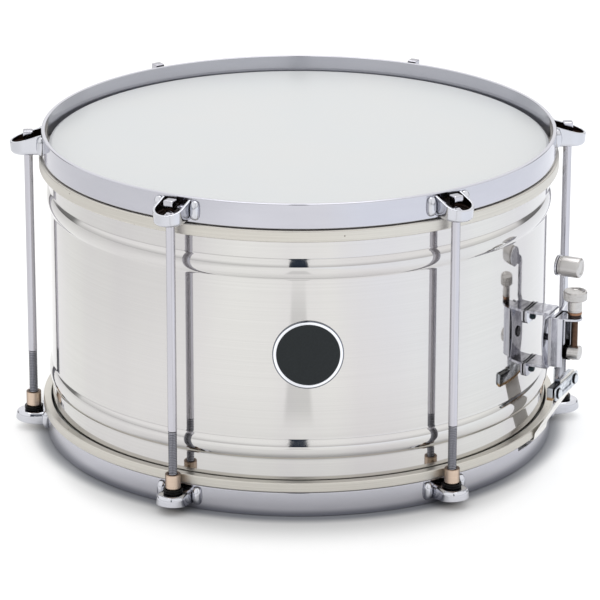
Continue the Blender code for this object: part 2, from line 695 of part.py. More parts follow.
def slider():
    """The bar inside the channel. It carries the barrel nut, and its tongue carries the link."""
    arm = SCREW_X - 3.5 - GAP
    top = HOUSING_TOP - 5.5
    low = RIVET_HIGH[1] - 5.4
    tongue = arc(RIVET_HIGH, 2.9, -65, 110, 6)
    profile = [(SLIDER_IN, top), (SLIDER_IN, low), (SLIDER_OUT, low - 0.4)] + tongue + [
        (SLIDER_OUT, low + 4.6), (SLIDER_OUT, NUT_BARREL_Z - 3.0), (arm, NUT_BARREL_Z - 3.0),
        (arm, NUT_BARREL_Z + 3.0), (SLIDER_OUT, NUT_BARREL_Z + 3.0), (SLIDER_OUT, top)]
    made = add("slider", slab(profile, -SLIDER_HALF, SLIDER_HALF, "Y"), STEEL)
    work(made, ("DIFFERENCE", rod(RIVET_R + GAP, -SLIDER_HALF - 4.0, SLIDER_HALF + 4.0, RIVET_HIGH, "Y", 12)))


def link():
    """Two link plates, their rivets, and the clamp that grips the strap."""
    slope = math.atan2(RIVET_HIGH[1] - RIVET_LOW[1], RIVET_HIGH[0] - RIVET_LOW[0])
    heading = math.degrees(slope)

    def edge(side):
        rise = side * LINK_HALF / math.cos(slope)
        return LINK_CUT, RIVET_LOW[1] + (LINK_CUT - RIVET_LOW[0]) * math.tan(slope) + rise

    outline = [edge(-1)] + arc(RIVET_HIGH, LINK_HALF, heading - 90, heading + 90, 8) + [edge(1)]
    for name, side in (("link_plate_near", -1), ("link_plate_far", 1)):
        span = sorted((side * LINK_INSIDE, side * (LINK_INSIDE + LINK_PLATE)))
        made = add(name, slab(outline, *span, "Y"), CASTING)
        for centre in (RIVET_HIGH, RIVET_LOW):
            work(made, ("DIFFERENCE", rod(RIVET_R + GAP, span[0] - 4.0, span[1] + 4.0, centre, "Y", 12)))
    outer = LINK_INSIDE + LINK_PLATE + GAP
    rivet = [
        (0.0, outer + RIVET_HEAD), (RIVET_HEAD_R - 0.5, outer + RIVET_HEAD), (RIVET_HEAD_R, outer), (RIVET_R, outer),
        (RIVET_R, -outer), (RIVET_HEAD_R, -outer), (RIVET_HEAD_R - 0.5, -outer - RIVET_HEAD),
        (0.0, -outer - RIVET_HEAD),
    ]
    for name, (x, z) in (("link_rivet_upper", RIVET_HIGH), ("link_rivet_lower", RIVET_LOW)):
        made = turned(name, rivet, NICKEL, 16, False, (x, 0.0, z))
        made.rotation_euler = (math.pi / 2, 0.0, 0.0)


CLAMP_OUT = LINK_CUT - GAP
CLAMP_IN = CLAMP_OUT - 4.5
CLAMP_TOP = RIVET_LOW[1] + 3.6
CLAMP_LOW = CLAMP_TOP - 11.2
STRAP_X = CLAMP_OUT - 2.05


def strap_clamp():
    """The clamp on the link: two jaws about the strap's end."""
    slot = STRAP_THICK / 2 + GAP
    ceiling = CLAMP_TOP - 3.3
    profile = [
        (CLAMP_IN, CLAMP_TOP), (CLAMP_IN, CLAMP_LOW), (STRAP_X - slot, CLAMP_LOW), (STRAP_X - slot, ceiling),
        (STRAP_X + slot, ceiling), (STRAP_X + slot, CLAMP_LOW), (CLAMP_OUT, CLAMP_LOW), (CLAMP_OUT, CLAMP_TOP),
    ]
    add("strap_clamp", slab(profile, -CLAMP_HALF, CLAMP_HALF, "Y"), CASTING)


def ribbon(path, thick):
    """The outline of a thin strip along a path of (x, z) points."""
    left = []
    right = []
    for index, point in enumerate(path):
        before = path[max(index - 1, 0)]
        after = path[min(index + 1, len(path) - 1)]
        one = math.atan2(point[1] - before[1], point[0] - before[0]) if index else None
        two = math.atan2(after[1] - point[1], after[0] - point[0]) if index < len(path) - 1 else None
        one = two if one is None else one
        two = one if two is None else two
        turn = math.atan2(math.sin(two - one), math.cos(two - one))
        normal = one + turn / 2 + math.pi / 2
        offset = thick / 2 / math.cos(turn / 2)
        step = (offset * math.cos(normal), offset * math.sin(normal))
        left.append((point[0] + step[0], point[1] + step[1]))
        right.append((point[0] - step[0], point[1] - step[1]))
    return left + right[::-1]


def strap_path(top):
    """The strap's route from its clamp to the snares, as (x, z) points."""
    hoop_top = HOOP_SEAT - DRUM_DEPTH - 0.2
    gate = hoop_top - 1.5
    inside = (HOOP_IN + SHELL_R + GAP + FILM) / 2
    return top + [
        (RING_OUT + 1.0, gate + 5.0), (RING_OUT + 0.5, gate + 1.4), (RING_OUT - 0.6, gate), (HOOP_IN + 0.2, gate),
        (inside, gate - 1.1), (inside, SNARE_Z + 1.3), (inside - 1.2, SNARE_Z), (SNARE_END + GAP, SNARE_Z),
    ]


def straps():
    """The plastic strap at the strainer, and the one at the butt end."""
    top = [(STRAP_X, CLAMP_TOP - 3.8), (STRAP_X, CLAMP_LOW - 0.8)]
    strainer_side = ribbon(strap_path(top), STRAP_THICK)
    add("snare_strap", slab(strainer_side, -STRAP_HALF, STRAP_HALF, "Y"), PLASTIC)
    top = [(BUTT_LIP + GAP + STRAP_THICK / 2, BUTT_TAB - 3.0), (BUTT_LIP + GAP + STRAP_THICK / 2, BUTT_TAB - 14.0)]
    butt_side = [(-x, z) for x, z in ribbon(strap_path(top), STRAP_THICK)]
    add("butt_strap", slab(butt_side, -STRAP_HALF, STRAP_HALF, "Y"), PLASTIC)


def snare_unit():
    """The snare wires and their two end plates, in one piece along X under the snare head."""
    long, half, thick = SNARE_PLATE
    plates = [sorted((side * (SNARE_END - long), side * SNARE_END)) for side in (-1, 1)]
    height = (SNARE_Z - thick / 2, SNARE_Z + thick / 2)
    made = add("snare_unit", box(plates[0], (-half, half), height), WIRE_METAL)
    work(made, ("UNION", box(plates[1], (-half, half), height)))
    for wire in range(WIRES):
        y = -half + 2.0 + (2 * half - 4.0) * wire / (WIRES - 1)
        reach = SNARE_END - long + 3.0
        work(made, ("UNION", rod(WIRE_R, -reach, reach, (y, SNARE_Z), "X", 6)))


def butt_end():
    """The fixed butt end: a bent plate on the shell, and the clamp on the butt strap."""
    inner = FACE
    plate = BRACKET_PLATE
    low = BUTT_TAB - 13.0
    profile = [
        (-inner, BUTT_TOP), (-inner - plate, BUTT_TOP), (-inner - plate, BUTT_TAB),
        (-BUTT_LIP, BUTT_TAB), (-BUTT_LIP, low), (-BUTT_LIP + plate, low), (-BUTT_LIP + plate, BUTT_TAB - plate),
        (-inner, BUTT_TAB - plate),
    ]
    made = add("butt_plate", slab(profile, -BUTT_HALF, BUTT_HALF, "Y"), STEEL)
    for drop in (6.0, 20.0):
        head_at = (0.0, BUTT_TOP - drop)
        work(made, ("UNION", rod(3.4, -inner - plate - 2.0, -inner - plate + 0.5, head_at, "X", 16)))
    start = BUTT_LIP + 2 * GAP + STRAP_THICK
    clamp = add("butt_clamp", box((-start - 2.2, -start), (-BUTT_HALF, BUTT_HALF), (low, BUTT_TAB - 2.5)), CASTING)
    for side in (-1, 1):
        spot = (side * 5.0, BUTT_TAB - 7.8)
        work(clamp, ("UNION", rod(2.4, -start - 3.6, -start - 1.0, spot, "X", 12)))


def main():
    """Build the drum."""
    shell()
    head("batter_head_film", False)
    head("snare_head_film", True)
    rings_and_hoops()
    tension_set()
    badge()
    strainer_bracket()
    bracket_bolt("bracket_screw_upper", TAB_TOP)
    bracket_bolt("bracket_screw_lower", TAB_LOW)
    strainer_housing()
    pivot_pin()
    lever()
    lever_grip()
    lift_yoke()
    adjuster()
    slider()
    link()
    strap_clamp()
    straps()
    snare_unit()
    butt_end()


main()
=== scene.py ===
"""Caixa, a small Brazilian snare drum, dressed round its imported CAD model. Lengths are in millimetres."""
import math

import bmesh
import bpy
import numpy as np
from mathutils import Matrix, Vector


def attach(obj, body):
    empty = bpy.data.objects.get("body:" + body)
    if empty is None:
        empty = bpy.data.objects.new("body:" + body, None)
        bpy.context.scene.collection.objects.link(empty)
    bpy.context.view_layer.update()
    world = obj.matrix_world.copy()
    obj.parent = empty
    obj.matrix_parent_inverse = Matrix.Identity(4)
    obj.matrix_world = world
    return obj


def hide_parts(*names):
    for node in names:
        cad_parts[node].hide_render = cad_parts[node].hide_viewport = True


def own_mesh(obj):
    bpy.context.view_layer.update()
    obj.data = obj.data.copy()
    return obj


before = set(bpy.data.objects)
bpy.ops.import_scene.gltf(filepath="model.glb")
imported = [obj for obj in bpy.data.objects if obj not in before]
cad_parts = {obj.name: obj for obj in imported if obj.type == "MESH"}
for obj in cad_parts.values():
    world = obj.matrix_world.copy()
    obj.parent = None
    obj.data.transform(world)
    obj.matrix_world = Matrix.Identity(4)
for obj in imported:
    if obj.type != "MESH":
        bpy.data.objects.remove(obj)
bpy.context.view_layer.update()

# Shell
# One sheet of aluminium, rolled and spun, 304.8 mm across at the heads and 174 mm deep. Between its necks
# the wall stands 1 mm further out, as its outline in the photo does, and a bead is pressed out near each
# head. The edges are turned over a little so that the heads slide on them.
MM = 0.001
SHELL_R = 152.4
SHELL_WALL = 1.2
SHELL_TOP = -0.7
SHELL_LOW = -174.9
WALL_R = 153.45
NECK_TOP = -13.9
NECK_LOW = -163.3
HEADS_APART = 175.6
BEAD_DROP = 31.9
BEAD_HALF = 6.1
BEAD_FLAT = 7.0
BEAD_OUT = 1.8
BEADS = (-BEAD_DROP, BEAD_DROP - HEADS_APART)


def colour(code):
    """sRGB hex as linear light: c / 12.92 near black, and ((c + 0.055) / 1.055) to the power 2.4 above."""
    channels = np.array([int(code[place:place + 2], 16) for place in (1, 3, 5)]) / 255.0
    linear = np.where(channels > 0.04045, ((channels + 0.055) / 1.055) ** 2.4, channels / 12.92)
    return (*linear.tolist(), 1.0)


def look(name, code, metal, rough, **even):
    """A material, its node tree, its shader and its Object coordinates. What is the same all over is set on
    the shader's own sockets."""
    made = bpy.data.materials.new(name)
    made.use_nodes = True
    shader = made.node_tree.nodes["Principled BSDF"]
    shader.inputs["Base Color"].default_value = colour(code)
    shader.inputs["Metallic"].default_value = metal
    shader.inputs["Roughness"].default_value = rough
    for socket, value in even.items():
        shader.inputs[socket.replace("_", " ")].default_value = value
    place = made.node_tree.nodes.new("ShaderNodeTexCoord").outputs["Object"]
    return made, made.node_tree, shader, place


def add(tree, kind, *inputs, **named):
    """One node. Inputs fill its sockets in order. A name with a capital letter is a socket and any other is a
    setting. Each input is a value, a colour's code or another node's output."""
    made = tree.nodes.new("ShaderNode" + kind)
    sockets = dict(enumerate(inputs))
    for name, value in named.items():
        if name[0].isupper():
            sockets[name.replace("_", " ")] = value
        else:
            setattr(made, name, value)
    for socket, value in sockets.items():
        if isinstance(value, bpy.types.Node):
            value = value.outputs[0]
        if isinstance(value, bpy.types.NodeSocket):
            tree.links.new(value, made.inputs[socket])
        else:
            made.inputs[socket].default_value = colour(value) if isinstance(value, str) else value
    return made


def join(tree, shader, **links):
    """Links nodes to the shader's sockets by name."""
    for socket, source in links.items():
        tree.links.new(source.outputs[0], shader.inputs[socket.replace("_", " ")])


def rounded(corners, radius, closed=True, steps=5):
    """An outline with rounded corners. Each corner becomes an arc that touches both of its sides, with one
    more point on each side close to the arc, so that the flat faces next to it shade flat."""
    points = np.array(corners, float)
    radius = np.maximum(np.broadcast_to(np.asarray(radius, float), len(points)), 1e-3)
    back = np.roll(points, 1, axis=0) - points
    ahead = np.roll(points, -1, axis=0) - points
    back /= np.linalg.norm(back, axis=1)[:, None]
    ahead /= np.linalg.norm(ahead, axis=1)[:, None]
    half = np.arccos(np.clip((back * ahead).sum(1), -0.99995, 0.99995)) / 2
    reach = (radius / np.tan(half))[:, None]
    middle = back + ahead
    middle /= np.maximum(np.linalg.norm(middle, axis=1), 1e-9)[:, None]
    hub = points + middle * (radius / np.sin(half))[:, None]
    turn = (math.pi - 2 * half)[:, None, None]
    share = np.linspace(0, 1, steps + 1)[None, :, None]
    start = (points + back * reach - hub)[:, None]
    end = (points + ahead * reach - hub)[:, None]
    arcs = hub[:, None] + (start * np.sin((1 - share) * turn) + end * np.sin(share * turn)) / np.sin(turn)
    guard = np.minimum(0.3 * radius, 0.08)[:, None]
    before = (points + back * (reach + guard))[:, None]
    after = (points + ahead * (reach + guard))[:, None]
    rows = np.concatenate([before, arcs, after], axis=1)
    if closed:
        return rows.reshape(-1, 2)
    return np.vstack([points[:1], rows[1:-1].reshape(-1, 2), points[-1:]])


def full_turn(steps):
    """Angles all the way round, evenly spaced."""
    return np.arange(steps) * 2 * np.pi / steps


def polar(radius, angle, *height):
    """Points about the Z axis: x = r cos a and y = r sin a, and z = height where one is given."""
    return np.stack(np.broadcast_arrays(radius * np.cos(angle), radius * np.sin(angle), *height), axis=-1)


def turned(profile, steps=96):
    """A profile of (radius, height) points carried round the Z axis, with a row of points for each."""
    radius, height = np.asarray(profile, float).T[:, :, None]
    return polar(radius, full_turn(steps), height)


def laid(points, axis, at=(0.0, 0.0, 0.0)):
    """Points made about the Z axis, laid along another axis and moved to a place."""
    return np.roll(points, {"X": 1, "Y": 2, "Z": 0}[axis], axis=-1) + np.asarray(at, float)


def skin(*sheets):
    """A mesh from sheets of points, each (points, rows close, columns close, values). Four neighbours in a
    sheet make one face. The values, one for each point, are kept as the attribute called inside."""
    points, faces, values, start = [], [], [], 0
    for sheet in sheets:
        grid, rows_close, columns_close = sheet[:3]
        rows, columns = grid.shape[:2]
        index = start + np.arange(rows * columns).reshape(rows, columns)
        index = np.vstack([index, index[:1]]) if rows_close else index
        index = np.hstack([index, index[:, :1]]) if columns_close else index
        corners = [index[:-1, :-1], index[:-1, 1:], index[1:, 1:], index[1:, :-1]]
        faces.append(np.stack(corners, axis=-1).reshape(-1, 4))
        points.append(grid.reshape(-1, 3) * MM)
        values.append(np.broadcast_to(sheet[3] if len(sheet) > 3 else 0.0, (rows, columns)).ravel())
        start += rows * columns
    faces = np.concatenate(faces)
    mesh = bpy.data.meshes.new("skin")
    mesh.vertices.add(start)
    mesh.vertices.foreach_set("co", np.concatenate(points).ravel())
    mesh.loops.add(faces.size)
    mesh.loops.foreach_set("vertex_index", faces.ravel())
    mesh.polygons.add(len(faces))
    mesh.polygons.foreach_set("loop_start", np.arange(len(faces)) * 4)
    mesh.update(calc_edges=True)
    inside = mesh.attributes.new("inside", "FLOAT", "POINT")
    inside.data.foreach_set("value", np.concatenate(values).astype(np.float32))
    return mesh


def piece(name, mesh, material, body, slot, *nodes, sharp=38.0, even=False):
    """Puts a mesh in the scene as a piece that rides on a body and stands for CAD nodes. Doubled points are
    merged, open ends closed and faces turned outward. Edges bent more than sharp degrees stay crisp."""
    shape = bmesh.new()
    shape.from_mesh(mesh)
    bmesh.ops.remove_doubles(shape, verts=shape.verts, dist=2e-7)
    ends = [edge for edge in shape.edges if edge.is_boundary]
    if ends:
        bmesh.ops.holes_fill(shape, edges=ends, sides=0)
    bmesh.ops.recalc_face_normals(shape, faces=shape.faces)
    shape.to_mesh(mesh)
    shape.free()
    mesh.shade_smooth()
    mesh.set_sharp_from_angle(angle=math.radians(sharp))
    mesh.materials.clear()
    mesh.materials.append(material)
    mesh.name = name
    made = bpy.data.objects.new(name, mesh)
    bpy.context.scene.collection.objects.link(made)
    if even:
        made.modifiers.new("Flat faces", "WEIGHTED_NORMAL").keep_sharp = True
    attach(made, body)
    if nodes:
        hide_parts(*nodes)
    return made


def bead(centre, inward):
    """A bead's profile from top to bottom: an arc through the wall line at both ends, BEAD_OUT high."""
    bend = (BEAD_HALF ** 2 + BEAD_OUT ** 2) / (2 * BEAD_OUT)
    hub = WALL_R + BEAD_OUT - bend
    radius = bend - inward
    reach = math.acos((WALL_R - inward - hub) / radius)
    angle = np.linspace(reach, -reach, 25)
    return polar(radius, angle) + (hub, centre)


outside = np.vstack([
    [(SHELL_R - 0.9, SHELL_TOP), (SHELL_R - 0.4, SHELL_TOP - 0.25), (SHELL_R, SHELL_TOP - 1.1)],
    [(SHELL_R, NECK_TOP + 1.5), (WALL_R, NECK_TOP), (WALL_R, NECK_TOP - 0.2), (WALL_R, BEADS[0] + BEAD_FLAT)],
    bead(BEADS[0], 0.0),
    [(WALL_R, BEADS[0] - BEAD_FLAT), (WALL_R, BEADS[1] + BEAD_FLAT)],
    bead(BEADS[1], 0.0),
    [(WALL_R, BEADS[1] - BEAD_FLAT), (WALL_R, NECK_LOW + 0.2), (WALL_R, NECK_LOW), (SHELL_R, NECK_LOW - 0.6)],
    [(SHELL_R, SHELL_LOW + 1.1), (SHELL_R - 0.4, SHELL_LOW + 0.25), (SHELL_R - 0.9, SHELL_LOW)]])
inner_wall = SHELL_R - SHELL_WALL
within = np.vstack([
    [(inner_wall, SHELL_TOP - 0.3)], bead(BEADS[0], SHELL_WALL), bead(BEADS[1], SHELL_WALL),
    [(inner_wall, SHELL_LOW + 0.3)]])

# Spun aluminium: nearly a mirror, drawn out up and down by turning marks too fine to see one by one. The
# real marks are about 0.05 mm apart and are drawn 0.4 mm apart, and slow waves bend the reflections a little.
# Noise whose place is scaled unevenly becomes streaks, and more so the more uneven the scales are.
SPUN, tree, shader, place = look("spun aluminium", "#cfcecb", 1.0, 0.05, Anisotropic=0.6)
uneven = add(tree, "Mapping", place, Scale=(5.0, 5.0, 2600.0))
marks = add(tree, "TexNoise", uneven, Scale=1.0, Detail=3.0, Roughness=0.6)
uneven = add(tree, "Mapping", place, Scale=(6.0, 6.0, 240.0))
bands = add(tree, "TexNoise", uneven, Scale=1.0)
uneven = add(tree, "Mapping", place, Scale=(22.0, 22.0, 2.0))
shades = add(tree, "TexNoise", uneven, Scale=1.0)
slow = add(tree, "TexNoise", place, Scale=9.0, Detail=1.0)
rough = add(tree, "MapRange", bands, 0.3, 0.7, 0.03, 0.07)
tone = add(tree, "MixRGB", marks, "#c4c3c0", "#d6d5d2")
shading = add(tree, "MapRange", shades, 0.35, 0.65, To_Max=0.5)
tone = add(tree, "MixRGB", shading, tone, "#c3bfc2")
lines = add(tree, "Bump", Height=marks, Strength=0.25, Distance=0.000004)
waves = add(tree, "Bump", Height=slow, Strength=0.3, Distance=0.0006, Normal=lines)
around = add(tree, "Tangent", direction_type="RADIAL", axis="Z")
join(tree, shader, Base_Color=tone, Roughness=rough, Normal=waves, Tangent=around)

wall = np.vstack([outside, within[::-1]])
mesh = skin((turned(wall, 384), True, True))
piece("spun_shell", mesh, SPUN, "drum", "shell_aluminium", "shell", sharp=60.0)

# Drum heads
# Milky polyester film, 0.4 mm thick here, pressed to a flat disc with a collar that goes down over the
# shell's edge into the flesh ring. Both heads are alike, and the playing side is left bare.
FILM_R = SHELL_R + 0.7

film = rounded([
    (0.0, 0.0), (SHELL_R - 1.2, 0.0), (FILM_R, -0.9), (FILM_R, -11.6), (FILM_R - 0.4, -11.6),
    (FILM_R - 0.4, -1.1), (SHELL_R - 1.3, -0.4), (0.0, -0.4)], (0, 1.2, 0.9, 0.1, 0.1, 0.5, 0.8, 0), False)


def finish(tree, shader, pattern, tones, rough, raised=None, span=(0.0, 1.0)):
    """Joins a pattern to the shader and gives the nodes for its tone and roughness. Over the pattern's span
    the roughness goes from one value to the other, and the tone goes from one colour to the other. Raised
    is a pattern that lifts the surface, with its strength and its height in metres."""
    tone = add(tree, "MixRGB", pattern, tones[0], tones[1])
    dull = add(tree, "MapRange", pattern, span[0], span[1], rough[0], rough[1])
    join(tree, shader, Base_Color=tone, Roughness=dull)
    if raised:
        lifted, strength, height = raised
        relief = add(tree, "Bump", Height=lifted, Strength=strength, Distance=height)
        join(tree, shader, Normal=relief)
    return tone, dull


# Milky film: a soft sheen over a faintly uneven white, with a slight grain that keeps it from mirroring.
MILKY, tree, shader, place = look("milky film", "#c8cacb", 0.0, 0.34, Specular_IOR_Level=0.45)
cloud = add(tree, "TexNoise", place, Scale=14.0, Detail=4.0)
grain = add(tree, "TexNoise", place, Scale=1400.0)
finish(tree, shader, cloud, ("#b9bdbf", "#c2c2c1"), (0.28, 0.42), (grain, 0.12, 0.00005))

under = film * (1.0, -1.0) - (0.0, HEADS_APART)
piece("batter_film", skin((turned(film, 256), False, True)), MILKY, "drum", "milky_film", "batter_head_film")
piece("snare_film", skin((turned(under, 256), False, True)), MILKY, "drum", "milky_film", "snare_head_film")

# Flesh rings
# Cream-coloured aluminium rings that hold the film's edge. Each is a drawn strip bent round, and the metal
# has streaks along it and small dark specks.
RING_IN = SHELL_R + 1.0
RING_OUT = RING_IN + 5.8


def ring_profile(inner, outer, top, low, ease):
    """A ring's section: a rectangle whose outer corners are rounded by ease and the inner ones by half."""
    corners = [(inner, top), (outer, top), (outer, low), (inner, low)]
    return rounded(corners, (ease / 2, ease, ease, ease / 2))


# Drawn aluminium, warm and satin: streaks 0.2 to 1 mm wide run round it, and specks 0.5 mm wide are
# scattered over it.
CREAM, tree, shader, place = look("drawn cream aluminium", "#cbc6c1", 1.0, 0.3, Anisotropic=0.4)
uneven = add(tree, "Mapping", place, Scale=(12.0, 12.0, 1500.0))
streaks = add(tree, "TexNoise", uneven, Scale=1.0, Detail=4.0, Roughness=0.65)
tone = finish(tree, shader, streaks, ("#b5b1aa", "#dad7cf"), (0.26, 0.46), (streaks, 0.25, 0.00003))[0]
dots = add(tree, "TexVoronoi", place, Scale=160.0)
speck = add(tree, "MapRange", dots.outputs["Distance"], 0.05, 0.09)
patch = add(tree, "TexNoise", place, Scale=30.0, Detail=1.0)
bare = add(tree, "MapRange", patch, 0.52, 0.56, 1.0, 0.0)
kept = add(tree, "Math", speck, bare, operation="MAXIMUM")
speckled = add(tree, "MixRGB", kept, "#77726a", tone)
around = add(tree, "Tangent", direction_type="RADIAL", axis="Z")
join(tree, shader, Base_Color=speckled, Tangent=around)

RINGS = (
    ("batter", ring_profile(RING_IN, RING_OUT, -6.7, -13.8, 0.8)),
    ("snare", ring_profile(RING_IN + 1.0, RING_OUT, -162.8, -168.9, 0.8)))
for name, profile in RINGS:
    mesh = skin((turned(profile, 384), True, True))
    piece(f"{name}_ring", mesh, CREAM, "drum", "ring_aluminium", f"{name}_flesh_ring")

# Hoops
# Steel bands 2.3 mm thick, bent round, welded, polished and chromed, with eased edges. They press on the
# flesh rings. The bottom one has a shallow gate cut in its upper edge at each end of the snares.
HOOP_IN = 155.1
HOOP_OUT = 157.4
GATE_HALF = 21.6
GATE_DEEP = 2.9


def hoop(top, low, gate):
    """A hoop's points: its section carried round the axis, with its top edge lowered by gate across each end
    of the X axis. The drop at distance y from that axis eases from 0 to gate over 0.8 mm."""
    angle = np.linspace(-np.pi, np.pi, 480, endpoint=False)
    if gate:
        close = GATE_HALF / HOOP_OUT + np.linspace(-0.006, 0.006, 25)
        angle = np.unique(np.concatenate([angle, close, -close, np.pi - close, close - np.pi]))
    radius, height = ring_profile(HOOP_IN, HOOP_OUT, top, low, 0.7).T[:, :, None]
    across = np.abs(HOOP_OUT * np.sin(angle))
    lowered = gate * np.clip((GATE_HALF + 0.4 - across) / 0.8, 0, 1) * (np.abs(np.cos(angle)) > 0.5)
    return polar(radius, angle, height - (height > (top + low) / 2) * lowered)


# Polished chrome with a lilac cast: almost a mirror, with faint wipe marks that change its sharpness and
# slow dents from bending that make the reflections wander.
CHROME, tree, shader, place = look("hoop chrome", "#c6c6cd", 1.0, 0.07)
uneven = add(tree, "Mapping", place, Scale=(20.0, 20.0, 90.0))
smudge = add(tree, "TexNoise", uneven, Scale=1.0, Detail=5.0, Roughness=0.6)
dents = add(tree, "TexNoise", place, Scale=16.0, Detail=1.0)
finish(tree, shader, smudge, ("#c4c4cb", "#b9b9c1"), (0.05, 0.16), (dents, 0.3, 0.0005), (0.35, 0.7))

HOOPS = (("batter", "top", 9.0, -6.4, 0.0), ("snare", "bottom", -169.4, -184.6, GATE_DEEP))
for name, node, *sizes in HOOPS:
    piece(f"{name}_hoop", skin((hoop(*sizes), True, True)), CHROME, "drum", "hoop_chrome", f"{node}_hoop")

# Ears
# Six claws on each hoop, die-cast zinc under chrome: a flat floor with a hole for the rod, a thin wall
# bent round it like a horseshoe that rises to the hoop, and a rounded lug each side welded to the hoop.
RODS = 6
FIRST = -92.4
ROD_CIRCLE = 165.4
EAR_BACK = 157.7
EAR_NOSE = 167.4
EAR_MIDDLE = 8.55
EAR_INSIDE = 6.7
EAR_WALL = 1.5
EAR_FLOOR = 5.3
LUG_ASIDE = 11.8
LUG_HALF = 2.9
LUG_THICK = 3.3


def turned_to(points, number):
    """Points made at the +X side, turned about the drum's axis to the place of rod number 1 to 6."""
    angle = math.radians(FIRST + 360.0 / RODS * (number - 1))
    cos, sin = math.cos(angle), math.sin(angle)
    return points @ np.array([[cos, sin, 0], [-sin, cos, 0], [0, 0, 1]])


def ear_wall(root, nose):
    """The wall: its section carried along a horseshoe. A section point is (out from the middle line, height
    from the flat, 1 if that height is measured down from the sloping rim). The rim falls evenly from root
    at the hoop to nose at the front, and the wall leans out as it rises."""
    half = EAR_WALL / 2
    foot = half + 1.6

    def arc(out, height, from_rim, radius, start, end):
        """Seven section points on an arc about a centre, from start to end in degrees."""
        return polar(radius, np.radians(np.linspace(start, end, 7)), 0.0) + (out, height, from_rim)

    section = np.vstack([
        arc(-2.0, 2.4, 0, 2.4, -90, 0), [(0.41, 2.5, 0), (0.74, -0.5, 1)], arc(0.4, -0.35, 1, 0.35, 0, 90),
        arc(-0.4, -0.35, 1, 0.35, 90, 180), [(-half, -0.6, 1), (-half, EAR_FLOOR + 1.4, 0)],
        arc(-half - 1.2, EAR_FLOOR + 1.2, 0, 1.2, 0, -90), [(-foot, EAR_FLOOR, 0), (-foot, 0.0, 0)]])
    # The wall's inner face is marked 1, where the cast chrome paints shade.
    dark = np.concatenate([np.zeros(22), np.ones(len(section) - 23), [0.0]])
    straight = np.linspace(EAR_BACK - 0.4, EAR_NOSE, 9)[:-1]
    middle = np.concatenate([straight, np.full(49, EAR_NOSE), straight[::-1]])
    heading = np.radians(np.concatenate([np.full(8, -90.0), np.linspace(-90, 90, 49), np.full(8, 90.0)]))
    out, height, from_rim = section.T[:, :, None]
    x = middle + (EAR_MIDDLE + out) * np.cos(heading)
    y = (EAR_MIDDLE + out) * np.sin(heading)
    x = np.maximum(x, np.sqrt(EAR_BACK ** 2 - y ** 2))
    rim = root + (nose - root) * (x - EAR_BACK) / (EAR_NOSE + EAR_MIDDLE + half - EAR_BACK)
    return np.stack([x, y, np.minimum(height + from_rim * rim, rim)], axis=-1), dark[:, None]


def ear_floor(hole):
    """The floor between the walls: rings about the rod's hole. Each ray from the hole runs to the first of
    the two straight sides, the round nose and the hoop."""
    angle = full_turn(96)
    side = EAR_INSIDE / np.maximum(np.abs(np.sin(angle)), 1e-6)
    ahead = EAR_NOSE - ROD_CIRCLE
    nose = ahead * np.cos(angle) + np.sqrt(EAR_INSIDE ** 2 - (ahead * np.sin(angle)) ** 2)
    reach = np.where(side * np.cos(angle) <= ahead, side, nose)
    reach = np.minimum(reach, (ROD_CIRCLE - EAR_BACK) / np.maximum(-np.cos(angle), 1e-6))
    bore = np.full(96, hole)
    radius = np.stack([bore, bore, bore + 0.4, reach, reach])
    height = np.array([0.01, EAR_FLOOR - 0.3, EAR_FLOOR, EAR_FLOOR, 0.01])[:, None]
    return polar(radius, angle, height) + (ROD_CIRCLE, 0.0, 0.0)


def ear_lug(side, low, high):
    """A lug on the hoop. Its outline is |u|^3 + |v|^3 = 1, and from its middle out to share 1 of that outline
    it stands LUG_THICK * (1 - share^2)^0.5 off the hoop. Front and back meet at the outline."""
    angle = full_turn(48)
    share = np.sin(np.linspace(0, np.pi / 2, 12))[:, None]
    outline = share * (np.abs(np.cos(angle)) ** 3 + np.abs(np.sin(angle)) ** 3) ** (-1 / 3)
    rise = LUG_THICK * np.sqrt(np.maximum(1 - share ** 2, 0))
    turn = side * (LUG_ASIDE + LUG_HALF * outline * np.cos(angle)) / EAR_BACK
    height = (low + high) / 2 + (high - low) / 2 * outline * np.sin(angle)
    front = polar(EAR_BACK + rise, turn, height)
    back = polar(EAR_BACK - 0.1, turn, height)
    return np.concatenate([front, back[::-1]])


def ear(flat, side, root, nose, lug, hole):
    """The sheets of one ear at +X. Heights go from its flat face towards side, +1 up and -1 down."""
    place = np.array((1.0, 1.0, side))
    shift = np.array((0.0, 0.0, flat))
    wall, dark = ear_wall(root, nose)
    # The floor's top and the top of its hole are marked 1, where the cast chrome paints shade.
    shade = np.array([0.0, 1.0, 1.0, 1.0, 0.0])[:, None]
    sheets = [(wall * place + shift, True, False, dark), (ear_floor(hole) * place + shift, True, True, shade)]
    for hand in (-1, 1):
        sheets.append((ear_lug(hand, *lug) * place + shift, False, True))
    return sheets


# Chrome on a die casting: bright, with the soft orange-peel of cast metal under it. The hollow side is
# painted near-black as shade, with brown blotches painted in as glints.
CAST, tree, shader, place = look("cast chrome", "#c6c7cc", 1.0, 0.1)
hollow = add(tree, "Attribute", attribute_name="inside").outputs["Fac"]
blotch = add(tree, "TexNoise", place, Scale=90.0, Detail=3.0)
peel = add(tree, "TexNoise", place, Scale=320.0)
bright, gloss = finish(tree, shader, blotch, ("#cccdd2", "#c0c1c8"), (0.07, 0.15), (peel, 0.3, 0.00004))
hollow_shade_tone = add(tree, "MixRGB", blotch, "#0c0a0a", "#3a2a22")
tone = add(tree, "MixRGB", hollow, bright, hollow_shade_tone)
dull = add(tree, "Math", hollow, 0.25, gloss, operation="MULTIPLY_ADD")
join(tree, shader, Base_Color=tone, Roughness=dull)

